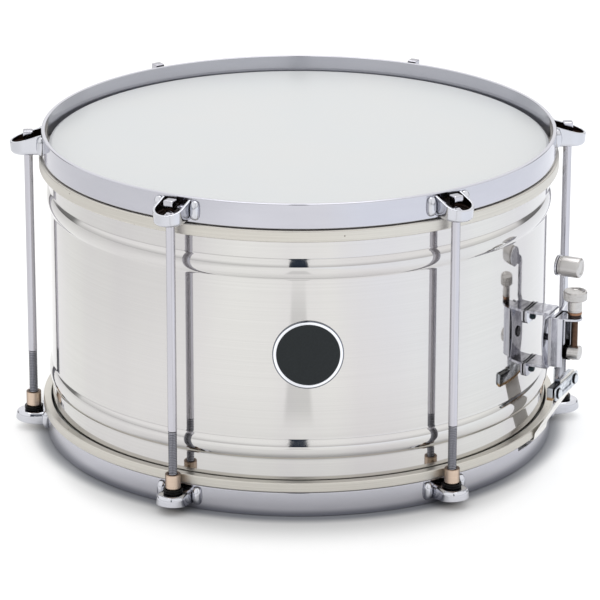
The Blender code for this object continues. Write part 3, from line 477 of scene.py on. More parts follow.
EARS = (
    ("top_ear", -5.4, 1, 12.9, 7.2, (0.9, 12.6), 3.0),
    ("bottom_ear", -173.0, -1, 7.9, 5.6, (-2.7, 8.6), 4.1))
for number in range(1, RODS + 1):
    for name, *sizes in EARS:
        mesh = skin(*((turned_to(points, number), *rest) for points, *rest in ear(*sizes)))
        piece(f"{name}_casting_{number}", mesh, CAST, "drum", "cast_chrome", f"{name}_{number}", sharp=50.0)

# Tension rods
# Six long steel rods with rolled threads below. The square head takes a drum key. Under it a short neck
# opens into a round flange that bears on the ear's floor.
ROD_R = 2.7
THREAD_FROM = -134.5
THREAD_TO = -178.4
THREAD_PITCH = 1.06
THREAD_DEEP = 0.38


def key_head():
    """Rows of (half-width, squareness, height) from the top down: a loop of radius half-width over
    (|cos|^p + |sin|^p)^(1/p) is round at p = 2 and nearly square at p = 14."""
    rows = np.array([
        (0.001, 14, 8.75), (1.6, 14, 8.73), (2.5, 14, 8.65), (2.85, 14, 8.42), (3.0, 14, 8.05),
        (3.0, 14, 7.9), (2.97, 14, 2.9), (2.9, 14, 2.65), (2.65, 10, 2.35), (2.4, 5, 2.1), (2.35, 3, 1.8),
        (2.45, 2, 1.4), (2.75, 2, 0.95), (3.2, 2, 0.5), (3.6, 2, 0.3), (3.9, 2, 0.2), (4.15, 2, 0.05),
        (4.2, 2, -0.15), (4.2, 2, -0.6), (4.1, 2, -0.7), (2.75, 2, -0.7), (ROD_R, 2, -0.8),
        (ROD_R, 2, -60.0), (ROD_R, 2, THREAD_FROM + 0.6)])
    angle = full_turn(64)
    half, power, height = rows.T[:, :, None]
    round_by = (np.abs(np.cos(angle)) ** power + np.abs(np.sin(angle)) ** power) ** (1 / power)
    return polar(half / round_by, angle, height)


def thread(radius, deep, pitch, high, low, steps, across=32):
    """A screw thread: the radius falls by deep and rises again once a pitch down, and one pitch further round
    each turn: r = radius - deep * |2 frac(z / pitch - a / 2 pi) - 1|, fading in over the first pitch."""
    height = np.linspace(high, low, steps)[:, None]
    angle = full_turn(across)
    phase = np.mod(height / pitch - angle / (2 * np.pi), 1.0)
    fade = np.clip((high - height) / pitch, 0, 1) * np.clip((height - low) / pitch, 0, 1)
    size = radius - deep * fade * (1 - np.abs(2 * phase - 1))
    return polar(size, angle, height)


def roots_of(screw, radius, deep):
    """How far into a thread each of its points lies: 0 on the crest and 1 at the root."""
    return np.clip((radius - np.hypot(screw[..., 0], screw[..., 1])) / deep, 0, 1)


def darker_aside(tree, tone, start, most, code):
    """A tone that goes over to a darker colour where the surface turns away from the eye, as painted shade
    at a round part's sides: its share rises from 0 at a facing of start to most at a facing of 0.8."""
    away = add(tree, "LayerWeight", Blend=0.5).outputs["Facing"]
    share = add(tree, "MapRange", away, start, 0.8, To_Max=most)
    return add(tree, "MixRGB", share, tone, code)


# Chromed rod steel: bright with very faint draw lines along it, greyer in the rolled thread and darkest in
# the thread's roots as painted shade, with painted darker edges where the rod turns away from the eye.
ROD_CHROME, tree, shader, place = look("rod chrome", "#c4c3c9", 1.0, 0.1)
uneven = add(tree, "Mapping", place, Scale=(900.0, 900.0, 8.0))
lines = add(tree, "TexNoise", uneven, Scale=1.0)
thread_grey_and_root_shade = add(tree, "Attribute", attribute_name="inside").outputs["Fac"]
bright = add(tree, "MixRGB", lines, "#b4b3ba", "#c8c7ce")
sided = darker_aside(tree, bright, 0.55, 0.6, "#4c4c54")
tone = add(tree, "MixRGB", thread_grey_and_root_shade, sided, "#3c404a")
rough = add(tree, "MapRange", thread_grey_and_root_shade, To_Min=0.1, To_Max=0.3)
drawn = add(tree, "Bump", Height=lines, Strength=0.1, Distance=0.00001)
join(tree, shader, Base_Color=tone, Roughness=rough, Normal=drawn)

screw = thread(ROD_R, THREAD_DEEP, THREAD_PITCH, THREAD_FROM, THREAD_TO, 330)
# The thread is marked 0.35 all along and up to 0.95 in its roots, where the darkening is painted shade.
roots = roots_of(screw, ROD_R, THREAD_DEEP) * 0.6 + 0.35
tip = turned([(ROD_R - 0.3, THREAD_TO), (ROD_R - 1.0, THREAD_TO - 0.2)], 32)
stages = ((key_head(), 0.0), (screw, roots), (tip, 0.9))
at = (ROD_CIRCLE, 0.0, 0.0)
for number in range(1, RODS + 1):
    mesh = skin(*((turned_to(grid + at, number), False, True, shade) for grid, shade in stages))
    node = f"tension_rod_{number}"
    piece(f"key_rod_{number}", mesh, ROD_CHROME, f"rod_{number}", "rod_chrome", node, sharp=30.0)

# Nut tubes and washers
# Each rod screws into a turned brass nut that stands in the lower ear, with two black rubber washers
# under its shoulder that keep it from rattling.
NUT_BORE = 3.0

nut = rounded([
    (NUT_BORE, -160.9), (4.6, -160.9), (4.6, -169.9), (3.8, -169.9), (3.8, -178.6), (5.0, -178.6),
    (5.0, -180.1), (NUT_BORE, -180.1)], (0.5, 0.45, 0.4, 0.1, 0.1, 0.2, 0.4, 0.2))
washer = rounded([
    (4.1, -170.2), (5.8, -170.2), (5.8, -171.35), (5.1, -171.45), (5.8, -171.55), (5.8, -172.7),
    (4.1, -172.7)], (0.1, 0.4, 0.35, 0.1, 0.35, 0.4, 0.1))

# Turned brass, pale and pinkish like bare brass in daylight, with fine tool rings, a darker mouth and painted
# shade on its sides.
BRASS, tree, shader, place = look("turned brass", "#d0bba9", 1.0, 0.3)
uneven = add(tree, "Mapping", place, Scale=(40.0, 40.0, 3000.0))
rings = add(tree, "TexNoise", uneven, Scale=1.0)
tone = finish(tree, shader, rings, ("#c6b09d", "#dcc9b8"), (0.26, 0.42), (rings, 0.2, 0.00002))[0]
height = add(tree, "SeparateXYZ", place).outputs["Z"]
mouth = add(tree, "MapRange", height, -0.1616, -0.1609)
sided = darker_aside(tree, tone, 0.3, 0.8, "#6a5648")
tone = add(tree, "MixRGB", mouth, sided, "#5d4a3c")
join(tree, shader, Base_Color=tone)

# Black rubber with a moulded shine and a little dust.
RUBBER, tree, shader, place = look("black rubber", "#040405", 0.0, 0.16, Specular_IOR_Level=0.12)
dust = add(tree, "TexNoise", place, Scale=500.0, Detail=3.0)
finish(tree, shader, dust, ("#030304", "#0c0c0d"), (0.1, 0.24), (dust, 0.15, 0.00003))

STACK = (
    ("nut_tube", nut, BRASS, "nut_brass", "tension_nut"),
    ("rubber_washer", washer, RUBBER, "black_washer", "nut_washer"))
for number in range(1, RODS + 1):
    for name, profile, material, slot, node in STACK:
        grid = turned_to(turned(profile, 48) + at, number)
        piece(f"{name}_{number}", skin((grid, True, True)), material, "drum", slot, f"{node}_{number}")

# Badge
# A thin round plate glued to the shell and bent to its curve: a charcoal field, a polished ring, and a
# fine dark line at the edge. Its field is plain.
BADGE_R = 21.0
BADGE_AT = -63.7
BADGE_Z = -84.3
FACE = WALL_R + 0.1

field = np.array([
    (0.0, 0.55), (0.45, 0.55), (0.86, 0.55), (0.888, 0.55), (0.9, 0.66), (0.91, 0.68), (0.95, 0.68),
    (0.962, 0.66), (0.972, 0.58), (0.985, 0.56), (0.995, 0.5), (1.0, 0.38), (1.0, 0.0), (0.0, 0.0)])
share_out, thick = field.T[:, :, None]
sweep = full_turn(160)
reach = share_out * BADGE_R
bent = math.radians(BADGE_AT) + reach * np.cos(sweep) / FACE
disc = polar(FACE + thick, bent, BADGE_Z + reach * np.sin(sweep))

# Printed and polished plate: charcoal lacquer inside 0.895 of the radius, bare metal to 0.965, grey outside.
PLATE, tree, shader, place = look("badge plate", "#1c2124", 0.5, 0.3, Specular_IOR_Level=0.25)
share = add(tree, "Attribute", attribute_name="inside").outputs["Fac"]
ring = add(tree, "MapRange", share, 0.888, 0.896)
edge = add(tree, "MapRange", share, 0.962, 0.968)
flecks = add(tree, "TexNoise", place, Scale=900.0, Detail=3.0)
lacquer = add(tree, "MixRGB", flecks, "#14191b", "#202528")
bare = add(tree, "MixRGB", ring, lacquer, "#eceef4")
tone = add(tree, "MixRGB", edge, bare, "#70737a")
rough = add(tree, "MapRange", ring, To_Min=0.38, To_Max=0.14)
metal = add(tree, "MapRange", ring, To_Min=0.1, To_Max=1.0)
stipple = add(tree, "Bump", Height=flecks, Strength=0.1, Distance=0.00002)
join(tree, shader, Base_Color=tone, Roughness=rough, Metallic=metal, Normal=stipple)

mesh = skin((disc, False, True, share_out))
piece("badge_plate", mesh, PLATE, "drum", "badge_plate", "badge", sharp=50.0)

# Strainer bracket
# A strip of plated steel, bent to stand off the shell: a foot against the shell at each end, a tab out from
# it 1.8 mm thick, and between the tabs a thinner web that bows towards the shell. A bolt holds each foot.
BRACKET_HALF = 8.3
STEEL_THICK = 1.8
TAB_TOP = -86.0
TAB_LOW = -119.8
TAB_OUT = 168.9
WEB_HALF = 15.1
WEB_THICK = 1.0
WEB_SUNK = 2.2
WEB_BOW = 1.5
FOOT_HALF = 10.0
FOOT_DEEP = 8.8
FOOT_THICK = 1.6
BOLT_DROP = 6.0


def plate(outlines, low, high, bevel, across):
    """A flat sheet with eased edges as a mesh. The first outline is its edge and the others are holes. It
    lies from low to high across its plane: outlines in YZ go along X, in XZ along Y and in XY along Z."""
    curve = bpy.data.curves.new("outline", "CURVE")
    curve.dimensions = "2D"
    curve.fill_mode = "BOTH"
    curve.extrude = (high - low) / 2 - bevel
    curve.bevel_depth = bevel
    curve.bevel_resolution = 2
    curve.offset = -bevel
    for outline in outlines:
        outline = np.asarray(outline, float)
        step = np.linalg.norm(outline - np.roll(outline, 1, axis=0), axis=1)
        outline = outline[step > 0.02]
        rest = np.tile((0.0, 1.0), (len(outline), 1))
        spline = curve.splines.new("POLY")
        spline.points.add(len(outline) - 1)
        spline.points.foreach_set("co", np.hstack([outline, rest]).ravel())
        spline.use_cyclic_u = True
    holder = bpy.data.objects.new("outline", curve)
    bpy.context.scene.collection.objects.link(holder)
    mesh = bpy.data.meshes.new_from_object(holder.evaluated_get(bpy.context.evaluated_depsgraph_get()))
    bpy.data.objects.remove(holder)
    turn = {
        "X": Matrix(((0, 0, 1), (1, 0, 0), (0, 1, 0))),
        "Y": Matrix(((1, 0, 0), (0, 0, -1), (0, 1, 0))),
        "Z": Matrix.Identity(3),
    }[across]
    middle = Vector((0, 0, 0))
    middle["XYZ".index(across)] = (low + high) / 2
    mesh.transform(Matrix.Scale(MM, 4) @ Matrix.Translation(middle) @ turn.to_4x4())
    return mesh


def places(mesh):
    """The places of a mesh's points in metres, one row for each."""
    points = np.zeros(len(mesh.vertices) * 3)
    mesh.vertices.foreach_get("co", points)
    return points.reshape(-1, 3)


def with_painted_shade(mesh, amount):
    """Keeps a value for each point, worked out from its place in millimetres, as the attribute inside, where
    the plated steel and clamp materials paint dark shade.
    """
    values = amount(*(places(mesh) / MM).T).astype(np.float32)
    mesh.attributes.new("inside", "FLOAT", "POINT").data.foreach_set("value", values)
    return mesh


def together(*meshes):
    """Several meshes as one."""
    shape = bmesh.new()
    for mesh in meshes:
        shape.from_mesh(mesh)
    made = bpy.data.meshes.new("together")
    shape.to_mesh(made)
    shape.free()
    return made


def circle(centre, radius, steps=40):
    """A round outline."""
    return polar(radius, full_turn(steps)) + centre


tab_low = TAB_LOW - STEEL_THICK
rise = np.linspace(WEB_HALF, -WEB_HALF, 21)
face = TAB_OUT - WEB_SUNK - WEB_BOW * (1 - (rise / WEB_HALF) ** 2)
web_out = np.stack([face, (TAB_TOP + tab_low) / 2 + rise], axis=-1)
web_in = (web_out - (WEB_THICK, 0.0))[::-1]
strip = np.vstack([
    [(FACE, TAB_TOP), (TAB_OUT - 1.2, TAB_TOP), (TAB_OUT - 0.35, TAB_TOP - 0.35), (TAB_OUT, TAB_TOP - 1.2)],
    web_out,
    [(TAB_OUT, tab_low + 1.2), (TAB_OUT - 0.35, tab_low + 0.35), (TAB_OUT - 1.2, tab_low), (FACE, tab_low)],
    [(FACE, TAB_LOW), (web_in[0, 0], TAB_LOW)],
    web_in,
    [(web_in[-1, 0], TAB_TOP - STEEL_THICK), (FACE, TAB_TOP - STEEL_THICK)]])
feet = []
for top in (TAB_TOP, TAB_LOW):
    foot = [(FOOT_HALF, top), (-FOOT_HALF, top), (-FOOT_HALF, top - FOOT_DEEP), (FOOT_HALF, top - FOOT_DEEP)]
    foot = [rounded(foot, (0.4, 0.4, 3.8, 3.8)), circle((0.0, top - BOLT_DROP), 2.3)]
    feet.append(plate(foot, FACE, FACE + FOOT_THICK, 0.25, "X"))

# Plated sheet steel: cooler and a little duller than the hoops, with rolling marks, painted darker upright
# bands that stand in for dark reflections, and near-black painted shade where the attribute says.
STEEL, tree, shader, place = look("plated sheet steel", "#c4c5cb", 1.0, 0.16)
uneven = add(tree, "Mapping", place, Scale=(500.0, 60.0, 500.0))
marks = add(tree, "TexNoise", uneven, Scale=1.0, Detail=3.0)
cloud = add(tree, "TexNoise", place, Scale=120.0)
uneven = add(tree, "Mapping", place, Scale=(300.0, 90.0, 14.0))
shades = add(tree, "TexNoise", uneven, Scale=1.0)
painted_shade_mask = add(tree, "Attribute", attribute_name="inside").outputs["Fac"]
plated = add(tree, "MixRGB", cloud, "#b6b8c0", "#d2d2d8")
shading = add(tree, "MapRange", shades, 0.44, 0.6, To_Max=0.6)
plain_tone = add(tree, "MixRGB", shading, plated, "#7d7c89")
tone = add(tree, "MixRGB", painted_shade_mask, plain_tone, "#17161a")
rough = add(tree, "MapRange", marks, To_Min=0.07, To_Max=0.18)
rolling = add(tree, "Bump", Height=marks, Strength=0.2, Distance=0.00003)
join(tree, shader, Base_Color=tone, Roughness=rough, Normal=rolling)

mesh = together(plate([strip], -BRACKET_HALF, BRACKET_HALF, 0.25, "Y"), *feet)
piece("standoff_bracket", mesh, STEEL, "drum", "plated_steel", "strainer_bracket", sharp=50.0, even=True)

# Bracket bolts
# Two blackened steel bolts come through the shell wall and the feet from inside, and their threaded ends
# stand out.
stud = thread(2.0, 0.2, 0.8, 156.4, 151.0, 60)
tip = turned([(0.0, 157.0), (1.2, 156.95), (1.7, 156.7), (1.95, 156.4)], 32)
cap = turned(rounded([(0.0, 148.6), (3.4, 148.8), (3.8, 150.75), (0.0, 150.75)], (0, 0.5, 0.2, 0), False), 32)

# Blackened steel: a blue-green black film that is worn to grey on the crests.
BLACKED, tree, shader, place = look("blackened bolt", "#20292c", 0.9, 0.35)
worn = add(tree, "TexNoise", place, Scale=700.0, Detail=3.0)
finish(tree, shader, worn, ("#141c1f", "#46555a"), (0.25, 0.5), (worn, 0.2, 0.00004))

for name, top in (("upper", TAB_TOP), ("lower", TAB_LOW)):
    at = (0.0, 0.0, top - BOLT_DROP)
    mesh = skin(*((laid(grid, "X", at), False, True) for grid in (np.vstack([tip, stud]), cap)))
    piece(f"foot_bolt_{name}", mesh, BLACKED, "drum", "dark_bolt", f"bracket_screw_{name}", sharp=50.0)

# Housing
# A plated channel bent from thin steel, riveted to the bracket's web with the lever between them. It is
# open on its outer side, and the slider runs up and down in it.
HOUSING_BACK = 170.0
HOUSING_OUT = 177.2
HOUSING_WALL = 1.5
HOUSING_EDGE = 168.2
HOUSING_LOW = -119.4
HOUSING_TOP = -88.5
PIVOT_Z = -104.0

half = BRACKET_HALF
inside_half = half - HOUSING_WALL
floor_x = HOUSING_BACK + HOUSING_WALL
channel = rounded([
    (HOUSING_EDGE, -half + 0.1), (HOUSING_EDGE + 2.0, -half - 0.15), (HOUSING_OUT - 2.5, -half - 0.2),
    (HOUSING_OUT, -half + 0.2), (HOUSING_OUT, -inside_half), (floor_x, -inside_half), (floor_x, inside_half),
    (HOUSING_OUT, inside_half), (HOUSING_OUT, half), (HOUSING_BACK, half), (HOUSING_BACK, -inside_half - 0.2),
    (HOUSING_EDGE, -inside_half - 0.2)], (0.5, 3.0, 3.0, 0.6, 0.3, 0.5, 0.5, 0.3, 0.7, 2.2, 0.3, 0.3))
channel = plate([channel], HOUSING_LOW, HOUSING_TOP, 0.2, "Z")
# Painted shade: the channel's inside faces, between its walls, are near-black.
mesh = with_painted_shade(channel, lambda x, y, z: ((np.abs(y) < inside_half + 0.1) & (x > floor_x - 0.1)) * 1.0)
piece("slider_channel", mesh, STEEL, "drum", "cast_chrome", "strainer_housing", sharp=50.0, even=True)
pin = rounded([(0.0, 171.4), (2.0, 171.4), (2.0, 163.9), (3.4, 163.9), (3.4, 162.9), (0.0, 162.6)],
              (0, 0.2, 0.1, 0.2, 0.5, 0), False)
# Painted shade: the rivet is darkened all over, at 0.85.
mesh = skin((laid(turned(pin, 32), "X", (0.0, 0.0, PIVOT_Z)), False, True, 0.85))
piece("pivot_rivet", mesh, STEEL, "drum", "plated_steel", "lever_pivot_pin")

# Throw-off lever
# Stamped from 1.5 mm plated steel: a round hub on the rivet, a narrow strip that goes up beside the
# channel, joggled outward to clear the bracket's tab, and a round head that carries the roller.
LEVER_BACK = 168.2
LEVER_THICK = 1.5
JOG_OUT = 2.2
JOG_FROM = -91.0
JOG_RUN = 6.0
JOG_BACK = -63.7
JOG_BACK_RUN = 3.5
STRIP_HALF = 3.0
HUB_R = 6.5
GRIP_R = 6.3
GRIP_Y = 1.0
GRIP_Z = -57.7


def beside(route):
    """The direction square to a route at each of its points: its heading turned a quarter to the left."""
    along = np.gradient(route, axis=0)
    along /= np.linalg.norm(along, axis=1)[:, None]
    return np.stack([-along[:, 1], along[:, 0]], axis=-1)


def eased(share):
    """A share from 0 to 1 that starts and ends gently: 3 s^2 - 2 s^3."""
    share = np.clip(share, 0, 1)
    return share * share * (3 - 2 * share)


grip_up = GRIP_Z - PIVOT_Z
route = rounded([(-4.8, -4.5), (12.3, 11.5), (12.3, grip_up - 6.0), (-4.6, grip_up + 3.0)],
                (1, 5.0, 5.0, 1), False, 12)
step = np.concatenate([[0.0], np.cumsum(np.linalg.norm(np.diff(route, axis=0), axis=1))])
run = np.linspace(0.0, step[-1], 121)
route = np.stack([np.interp(run, step, route[:, 0]), np.interp(run, step, route[:, 1])], axis=-1)
hub_at = run[np.argmin(np.hypot(*route.T))]
grip_at = run[np.argmin(np.hypot(route[:, 0] - GRIP_Y, route[:, 1] - grip_up))]
hub_half = np.sqrt(np.maximum(HUB_R ** 2 - (run - hub_at) ** 2, 0))
grip_half = np.sqrt(np.maximum(GRIP_R ** 2 - (run - grip_at) ** 2, 0))
strip_half = np.where((run > hub_at) & (run < grip_at), STRIP_HALF, 0.0)
wide = np.maximum(np.maximum(hub_half, grip_half), strip_half)
aside = beside(route) * wide[:, None]
edge = np.vstack([route + aside, (route - aside)[::-1]])
edge[:, 1] += PIVOT_Z
lever = plate([edge, circle((0.0, PIVOT_Z), 2.3)], LEVER_BACK, LEVER_BACK + LEVER_THICK, 0.25, "X")

# The sheet is cut across where it bends, so that it has points there to move. It goes out by JOG_OUT above
# the hub and comes back by 0.3 of that at the roller.
shape = bmesh.new()
shape.from_mesh(lever)
for height in np.concatenate([np.linspace(-92.0, -84.5, 9), np.linspace(-68.0, -62.8, 9)]):
    everything = shape.verts[:] + shape.edges[:] + shape.faces[:]
    bmesh.ops.bisect_plane(shape, geom=everything, plane_co=(0, 0, height * MM), plane_no=(0, 0, 1))
shape.to_mesh(lever)
shape.free()
points = places(lever)
height = points[:, 2] / MM
below = eased((JOG_BACK - height) / JOG_BACK_RUN)
ramp = np.minimum(eased((height - JOG_FROM) / JOG_RUN), 0.7 + 0.3 * below)
points[:, 0] += JOG_OUT * MM * ramp
lever.vertices.foreach_set("co", points.ravel())
# Painted shade: the plate darkens within 9.5 mm of the pivot, to at most 0.85.
lever = with_painted_shade(lever, lambda x, y, z: np.clip((9.5 - np.hypot(y, z - PIVOT_Z)) / 2.0, 0, 0.85))
piece("joggled_lever", lever, STEEL, "lever", "plated_steel", "throw_off_lever", sharp=50.0, even=True)

# Lever roller
# A turned nickel-plated roller on the lever's head that the finger pushes, with a groove and a thin collar
# at its inner end.
ROLLER_R = 6.2
ROLLER_OUT = 184.6
ROLLER_IN = 171.5
GROOVE_R = 5.2

roller = rounded([
    (0.0, ROLLER_OUT), (3.4, ROLLER_OUT), (3.9, ROLLER_OUT + 0.4), (5.0, ROLLER_OUT + 0.7),
    (ROLLER_R, ROLLER_OUT), (ROLLER_R, 173.6), (GROOVE_R, 173.1), (GROOVE_R, 172.5), (5.9, 172.3),
    (5.9, 171.8), (5.4, ROLLER_IN), (0.0, ROLLER_IN)],
    (0, 0.3, 0.3, 0.6, 0.9, 0.4, 0.2, 0.2, 0.2, 0.2, 0.2, 0), False)

# Satin nickel: neutral grey, brushed round by the lathe, rubbed brighter by the hand.
NICKEL, tree, shader, place = look("satin nickel", "#bdbbba", 1.0, 0.3)
rub = add(tree, "TexNoise", place, Scale=60.0, Detail=3.0)
brush = add(tree, "TexNoise", place, Scale=1500.0)
finish(tree, shader, rub, ("#b6b3b1", "#c9c7c6"), (0.24, 0.34), (brush, 0.12, 0.00002), (0.3, 0.7))

grid = laid(turned(roller, 96), "X", (0.0, GRIP_Y, GRIP_Z))
piece("lever_roller", skin((grid, False, True)), NICKEL, "lever", "satin_nickel", "lever_grip")

# Lift yoke
# A bent plate that the lever's cam raises: a flange that carries the knob and shows a white rim round its
# nose, and two legs inside the channel.
YOKE_TOP = -88.9
YOKE_IN = 172.4
YOKE_OUT = 177.8
YOKE_HALF = 6.2
LEG_IN = 4.8
LEG_LOW = -105.9
NOSE_R = 4.6
SCREW_X = 182.1

nose = polar(NOSE_R, np.radians(np.linspace(-75, 75, 19))) + (SCREW_X, 0.0)
flange = np.vstack([
    [(YOKE_IN, -YOKE_HALF), (YOKE_OUT, -YOKE_HALF)], nose, [(YOKE_OUT, YOKE_HALF), (YOKE_IN, YOKE_HALF)]])
flange = plate([flange, circle((SCREW_X, 0.0), 2.5)], YOKE_TOP - 1.5, YOKE_TOP, 0.3, "Z")
leg = [(YOKE_IN, YOKE_TOP - 0.5), (YOKE_OUT, YOKE_TOP - 0.5), (YOKE_OUT, LEG_LOW), (YOKE_IN, LEG_LOW)]
leg = rounded(leg, (0.3, 0.3, 1.5, 1.5))
legs = [plate([leg], *sides, 0.15, "Y") for sides in ((-YOKE_HALF, -LEG_IN), (LEG_IN, YOKE_HALF))]
mesh = together(flange, *legs)
piece("yoke_plate", mesh, STEEL, "lift", "plated_steel", "lift_yoke", sharp=50.0, even=True)

# Tension knob
# A turned nickel knob with a dished top and a finely cut edge, on a bright collar with a copper ring.
# Its screw is a bronzed thread that draws the barrel nut up.
KNOB_R = 7.25
KNOB_LOW = -77.6
COLLAR_R = 4.35
SCREW_R = 2.2
SCREW_DEEP = 0.35
SCREW_PITCH = 0.8
SCREW_LOW = -115.3

knob = rounded([
    (0.0, -73.3), (4.6, -73.0), (5.9, -72.0), (6.7, -71.9), (KNOB_R, -72.6), (KNOB_R, -77.0),
    (6.6, KNOB_LOW), (4.5, KNOB_LOW)], (0, 1.5, 0.5, 0.3, 0.3, 0.3, 0.3, 0), False)
grid = turned(knob, 288)
cut = np.arange(288) % 4 < 2
on_rim = np.hypot(grid[..., 0], grid[..., 1]) > KNOB_R - 0.02
grid[..., :2] *= np.where(on_rim & cut[None, :], 0.985, 1.0)[..., None]
collar = rounded([
    (4.5, KNOB_LOW), (COLLAR_R, KNOB_LOW - 0.1), (COLLAR_R, -84.0), (3.9, -84.3), (3.9, -84.9), (4.4, -85.2),
    (4.4, -86.6), (3.8, -86.8), (3.8, -87.4), (4.1, -87.6), (4.1, -88.6), (0.0, -88.6)],
    (0, 0.1, 0.2, 0.1, 0.1, 0.2, 0.2, 0.1, 0.1, 0.1, 0.2, 0), False)

# Knob metal: satin nickel above, bright collar, a copper band where the plating is rubbed through, and a
# dark ring at its foot.
KNOB, tree, shader, place = look("knob nickel", "#b9b6b4", 1.0, 0.22)
uneven = add(tree, "Mapping", place, Scale=(300.0, 300.0, 2600.0))
tooled = add(tree, "TexNoise", uneven, Scale=1.0)
tone = finish(tree, shader, tooled, ("#aaa7a5", "#cccac8"), (0.14, 0.3), (tooled, 0.2, 0.00002))[0]
height = add(tree, "SeparateXYZ", place).outputs["Z"]
for top, code in ((-0.0850, "#8d6a54"), (-0.0866, "#3a3230")):
    below = add(tree, "MapRange", height, top, top - 0.0002)
    tone = add(tree, "MixRGB", below, tone, code)
join(tree, shader, Base_Color=tone)

on_screw = (SCREW_X, 0.0, 0.0)
mesh = skin((grid + on_screw, False, True), (turned(collar, 288) + on_screw, False, True))
piece("tension_knob", mesh, KNOB, "adjuster", "satin_nickel", "adjuster_knob", sharp=30.0)

# Bronzed thread: brown crests, and nearly black roots as painted shade.
BRONZE, tree, shader, place = look("bronzed thread", "#5a4336", 0.95, 0.32)
root = add(tree, "Attribute", attribute_name="inside").outputs["Fac"]
stain = add(tree, "TexNoise", place, Scale=400.0)
crest = finish(tree, shader, stain, ("#6b5142", "#8f7260"), (0.25, 0.4))[0]
tone = add(tree, "MixRGB", root, crest, "#1c1513")
join(tree, shader, Base_Color=tone)

screw = thread(SCREW_R, SCREW_DEEP, SCREW_PITCH, YOKE_TOP, SCREW_LOW, 270)
# Painted shade in the thread's roots.
roots = roots_of(screw, SCREW_R, SCREW_DEEP)
end = turned([(1.5, SCREW_LOW - 0.2), (0.0, SCREW_LOW - 0.2)], 32)
mesh = skin((screw + on_screw, False, True, roots), (end + on_screw, False, True))
piece("bronzed_screw", mesh, BRONZE, "adjuster", "bronzed_screw", "adjuster_screw", sharp=50.0)

# Barrel nut and slider
# The screw draws a round cross nut, which sits in the slider's arms. The slider is a bar in the channel
# whose end comes out below and carries the strap clamp.
SLIDER_HALF = 3.6
SLIDER_IN = 172.0
SLIDER_OUT = 174.7
SLIDER_TOP = -94.0
SLIDER_LOW = -128.9
ARM_OUT = 178.3
ARM_HALF = 3.0
BARREL_R = 4.4
BARREL_IN = 178.6
BARREL_OUT = 186.0
BARREL_Z = -111.2

barrel = [(0.0, BARREL_IN), (BARREL_R, BARREL_IN), (BARREL_R, BARREL_OUT), (0.0, BARREL_OUT)]
barrel = rounded(barrel, (0, 0.5, 0.5, 0), False)
grid = laid(turned(barrel, 64), "X", (0.0, 0.0, BARREL_Z))
piece("cross_nut", skin((grid, False, True)), NICKEL, "carriage", "satin_nickel", "barrel_nut")
arm_low = BARREL_Z - ARM_HALF
arm_top = BARREL_Z + ARM_HALF
bar = np.array([
    (SLIDER_IN, SLIDER_TOP), (SLIDER_IN, -119.0), (SLIDER_IN, SLIDER_LOW), (SLIDER_OUT, SLIDER_LOW),
    (SLIDER_OUT, -119.0), (SLIDER_OUT, arm_low), (ARM_OUT, arm_low), (ARM_OUT, arm_top),
    (SLIDER_OUT, arm_top), (SLIDER_OUT, SLIDER_TOP)])
bar = plate([bar], -SLIDER_HALF, SLIDER_HALF, 0.25, "Y")
# Painted shade: the bar is near-black above -118 mm, inside the channel, fading out by -122 mm.
bar = with_painted_shade(bar, lambda x, y, z: np.clip((z + 122.0) / 4.0, 0, 1))
piece("slider_bar", bar, STEEL, "carriage", "plated_steel", "slider", sharp=50.0, even=True)

# Strap clamp
# A bar 38 mm long that faces outward below the channel. A thin front plate with a pressed slot is screwed to
# a thicker back plate by two round-headed screws, and the strap's end is held between them. A small leaf
# behind them holds the bar to the slider's end.
CLAMP_FROM = -17.5
CLAMP_TO = 20.5
CLAMP_TOP = -130.1
CLAMP_LOW = -138.3
CLAMP_SCREWS = (-12.4, 15.6)
CLAMP_MIDDLE = -134.2
FRONT_OUT = 177.7
FRONT_IN = 176.5
BACK_OUT = 175.5
BACK_IN = 171.6
LEAF_OUT = 171.7
LEAF_IN = 170.7

# Clamp metal: chrome with painted darker patches of shade, going over to brass along the back plate's lower
# edge, and near-black painted shade in its seams, on the back plate's top and under the screw heads.
JAW, tree, shader, place = look("clamp plate", "#cfd0d6", 1.0, 0.14)
speckle = add(tree, "TexNoise", place, Scale=300.0)
plated = finish(tree, shader, speckle, ("#c3c8ce", "#dadde2"), (0.1, 0.2))[0]
uneven = add(tree, "Mapping", place, Scale=(200.0, 130.0, 60.0))
shades = add(tree, "TexNoise", uneven, Scale=1.0)
shading = add(tree, "MapRange", shades, 0.5, 0.6, To_Max=0.55)
base = add(tree, "MixRGB", shading, plated, "#8f959e")
parts_of = add(tree, "SeparateXYZ", place).outputs
behind = add(tree, "Math", parts_of["X"], 0.176, operation="LESS_THAN")
lip = add(tree, "MapRange", parts_of["Z"], -0.1355, -0.1366)
brassy = add(tree, "Math", lip, behind, operation="MULTIPLY")
warm = add(tree, "MixRGB", brassy, base, "#a58763")
seam_shade_mask = add(tree, "Attribute", attribute_name="inside").outputs["Fac"]
tone = add(tree, "MixRGB", seam_shade_mask, warm, "#141418")
join(tree, shader, Base_Color=tone)

corners = [(CLAMP_FROM, CLAMP_LOW), (CLAMP_TO, CLAMP_LOW), (CLAMP_TO, CLAMP_TOP), (CLAMP_FROM, CLAMP_TOP)]
slot = rounded([(-6.0, -135.7), (9.3, -135.7), (9.3, -132.8), (-6.0, -132.8)], 0.6)
sunk = rounded([(-6.4, -136.1), (9.7, -136.1), (9.7, -132.4), (-6.4, -132.4)], 0.6)
front = plate([rounded(corners, 1.8), slot], FRONT_IN, FRONT_OUT, 0.3, "X")
front = together(front, plate([sunk], FRONT_IN + 0.05, FRONT_IN + 0.5, 0.05, "X"))
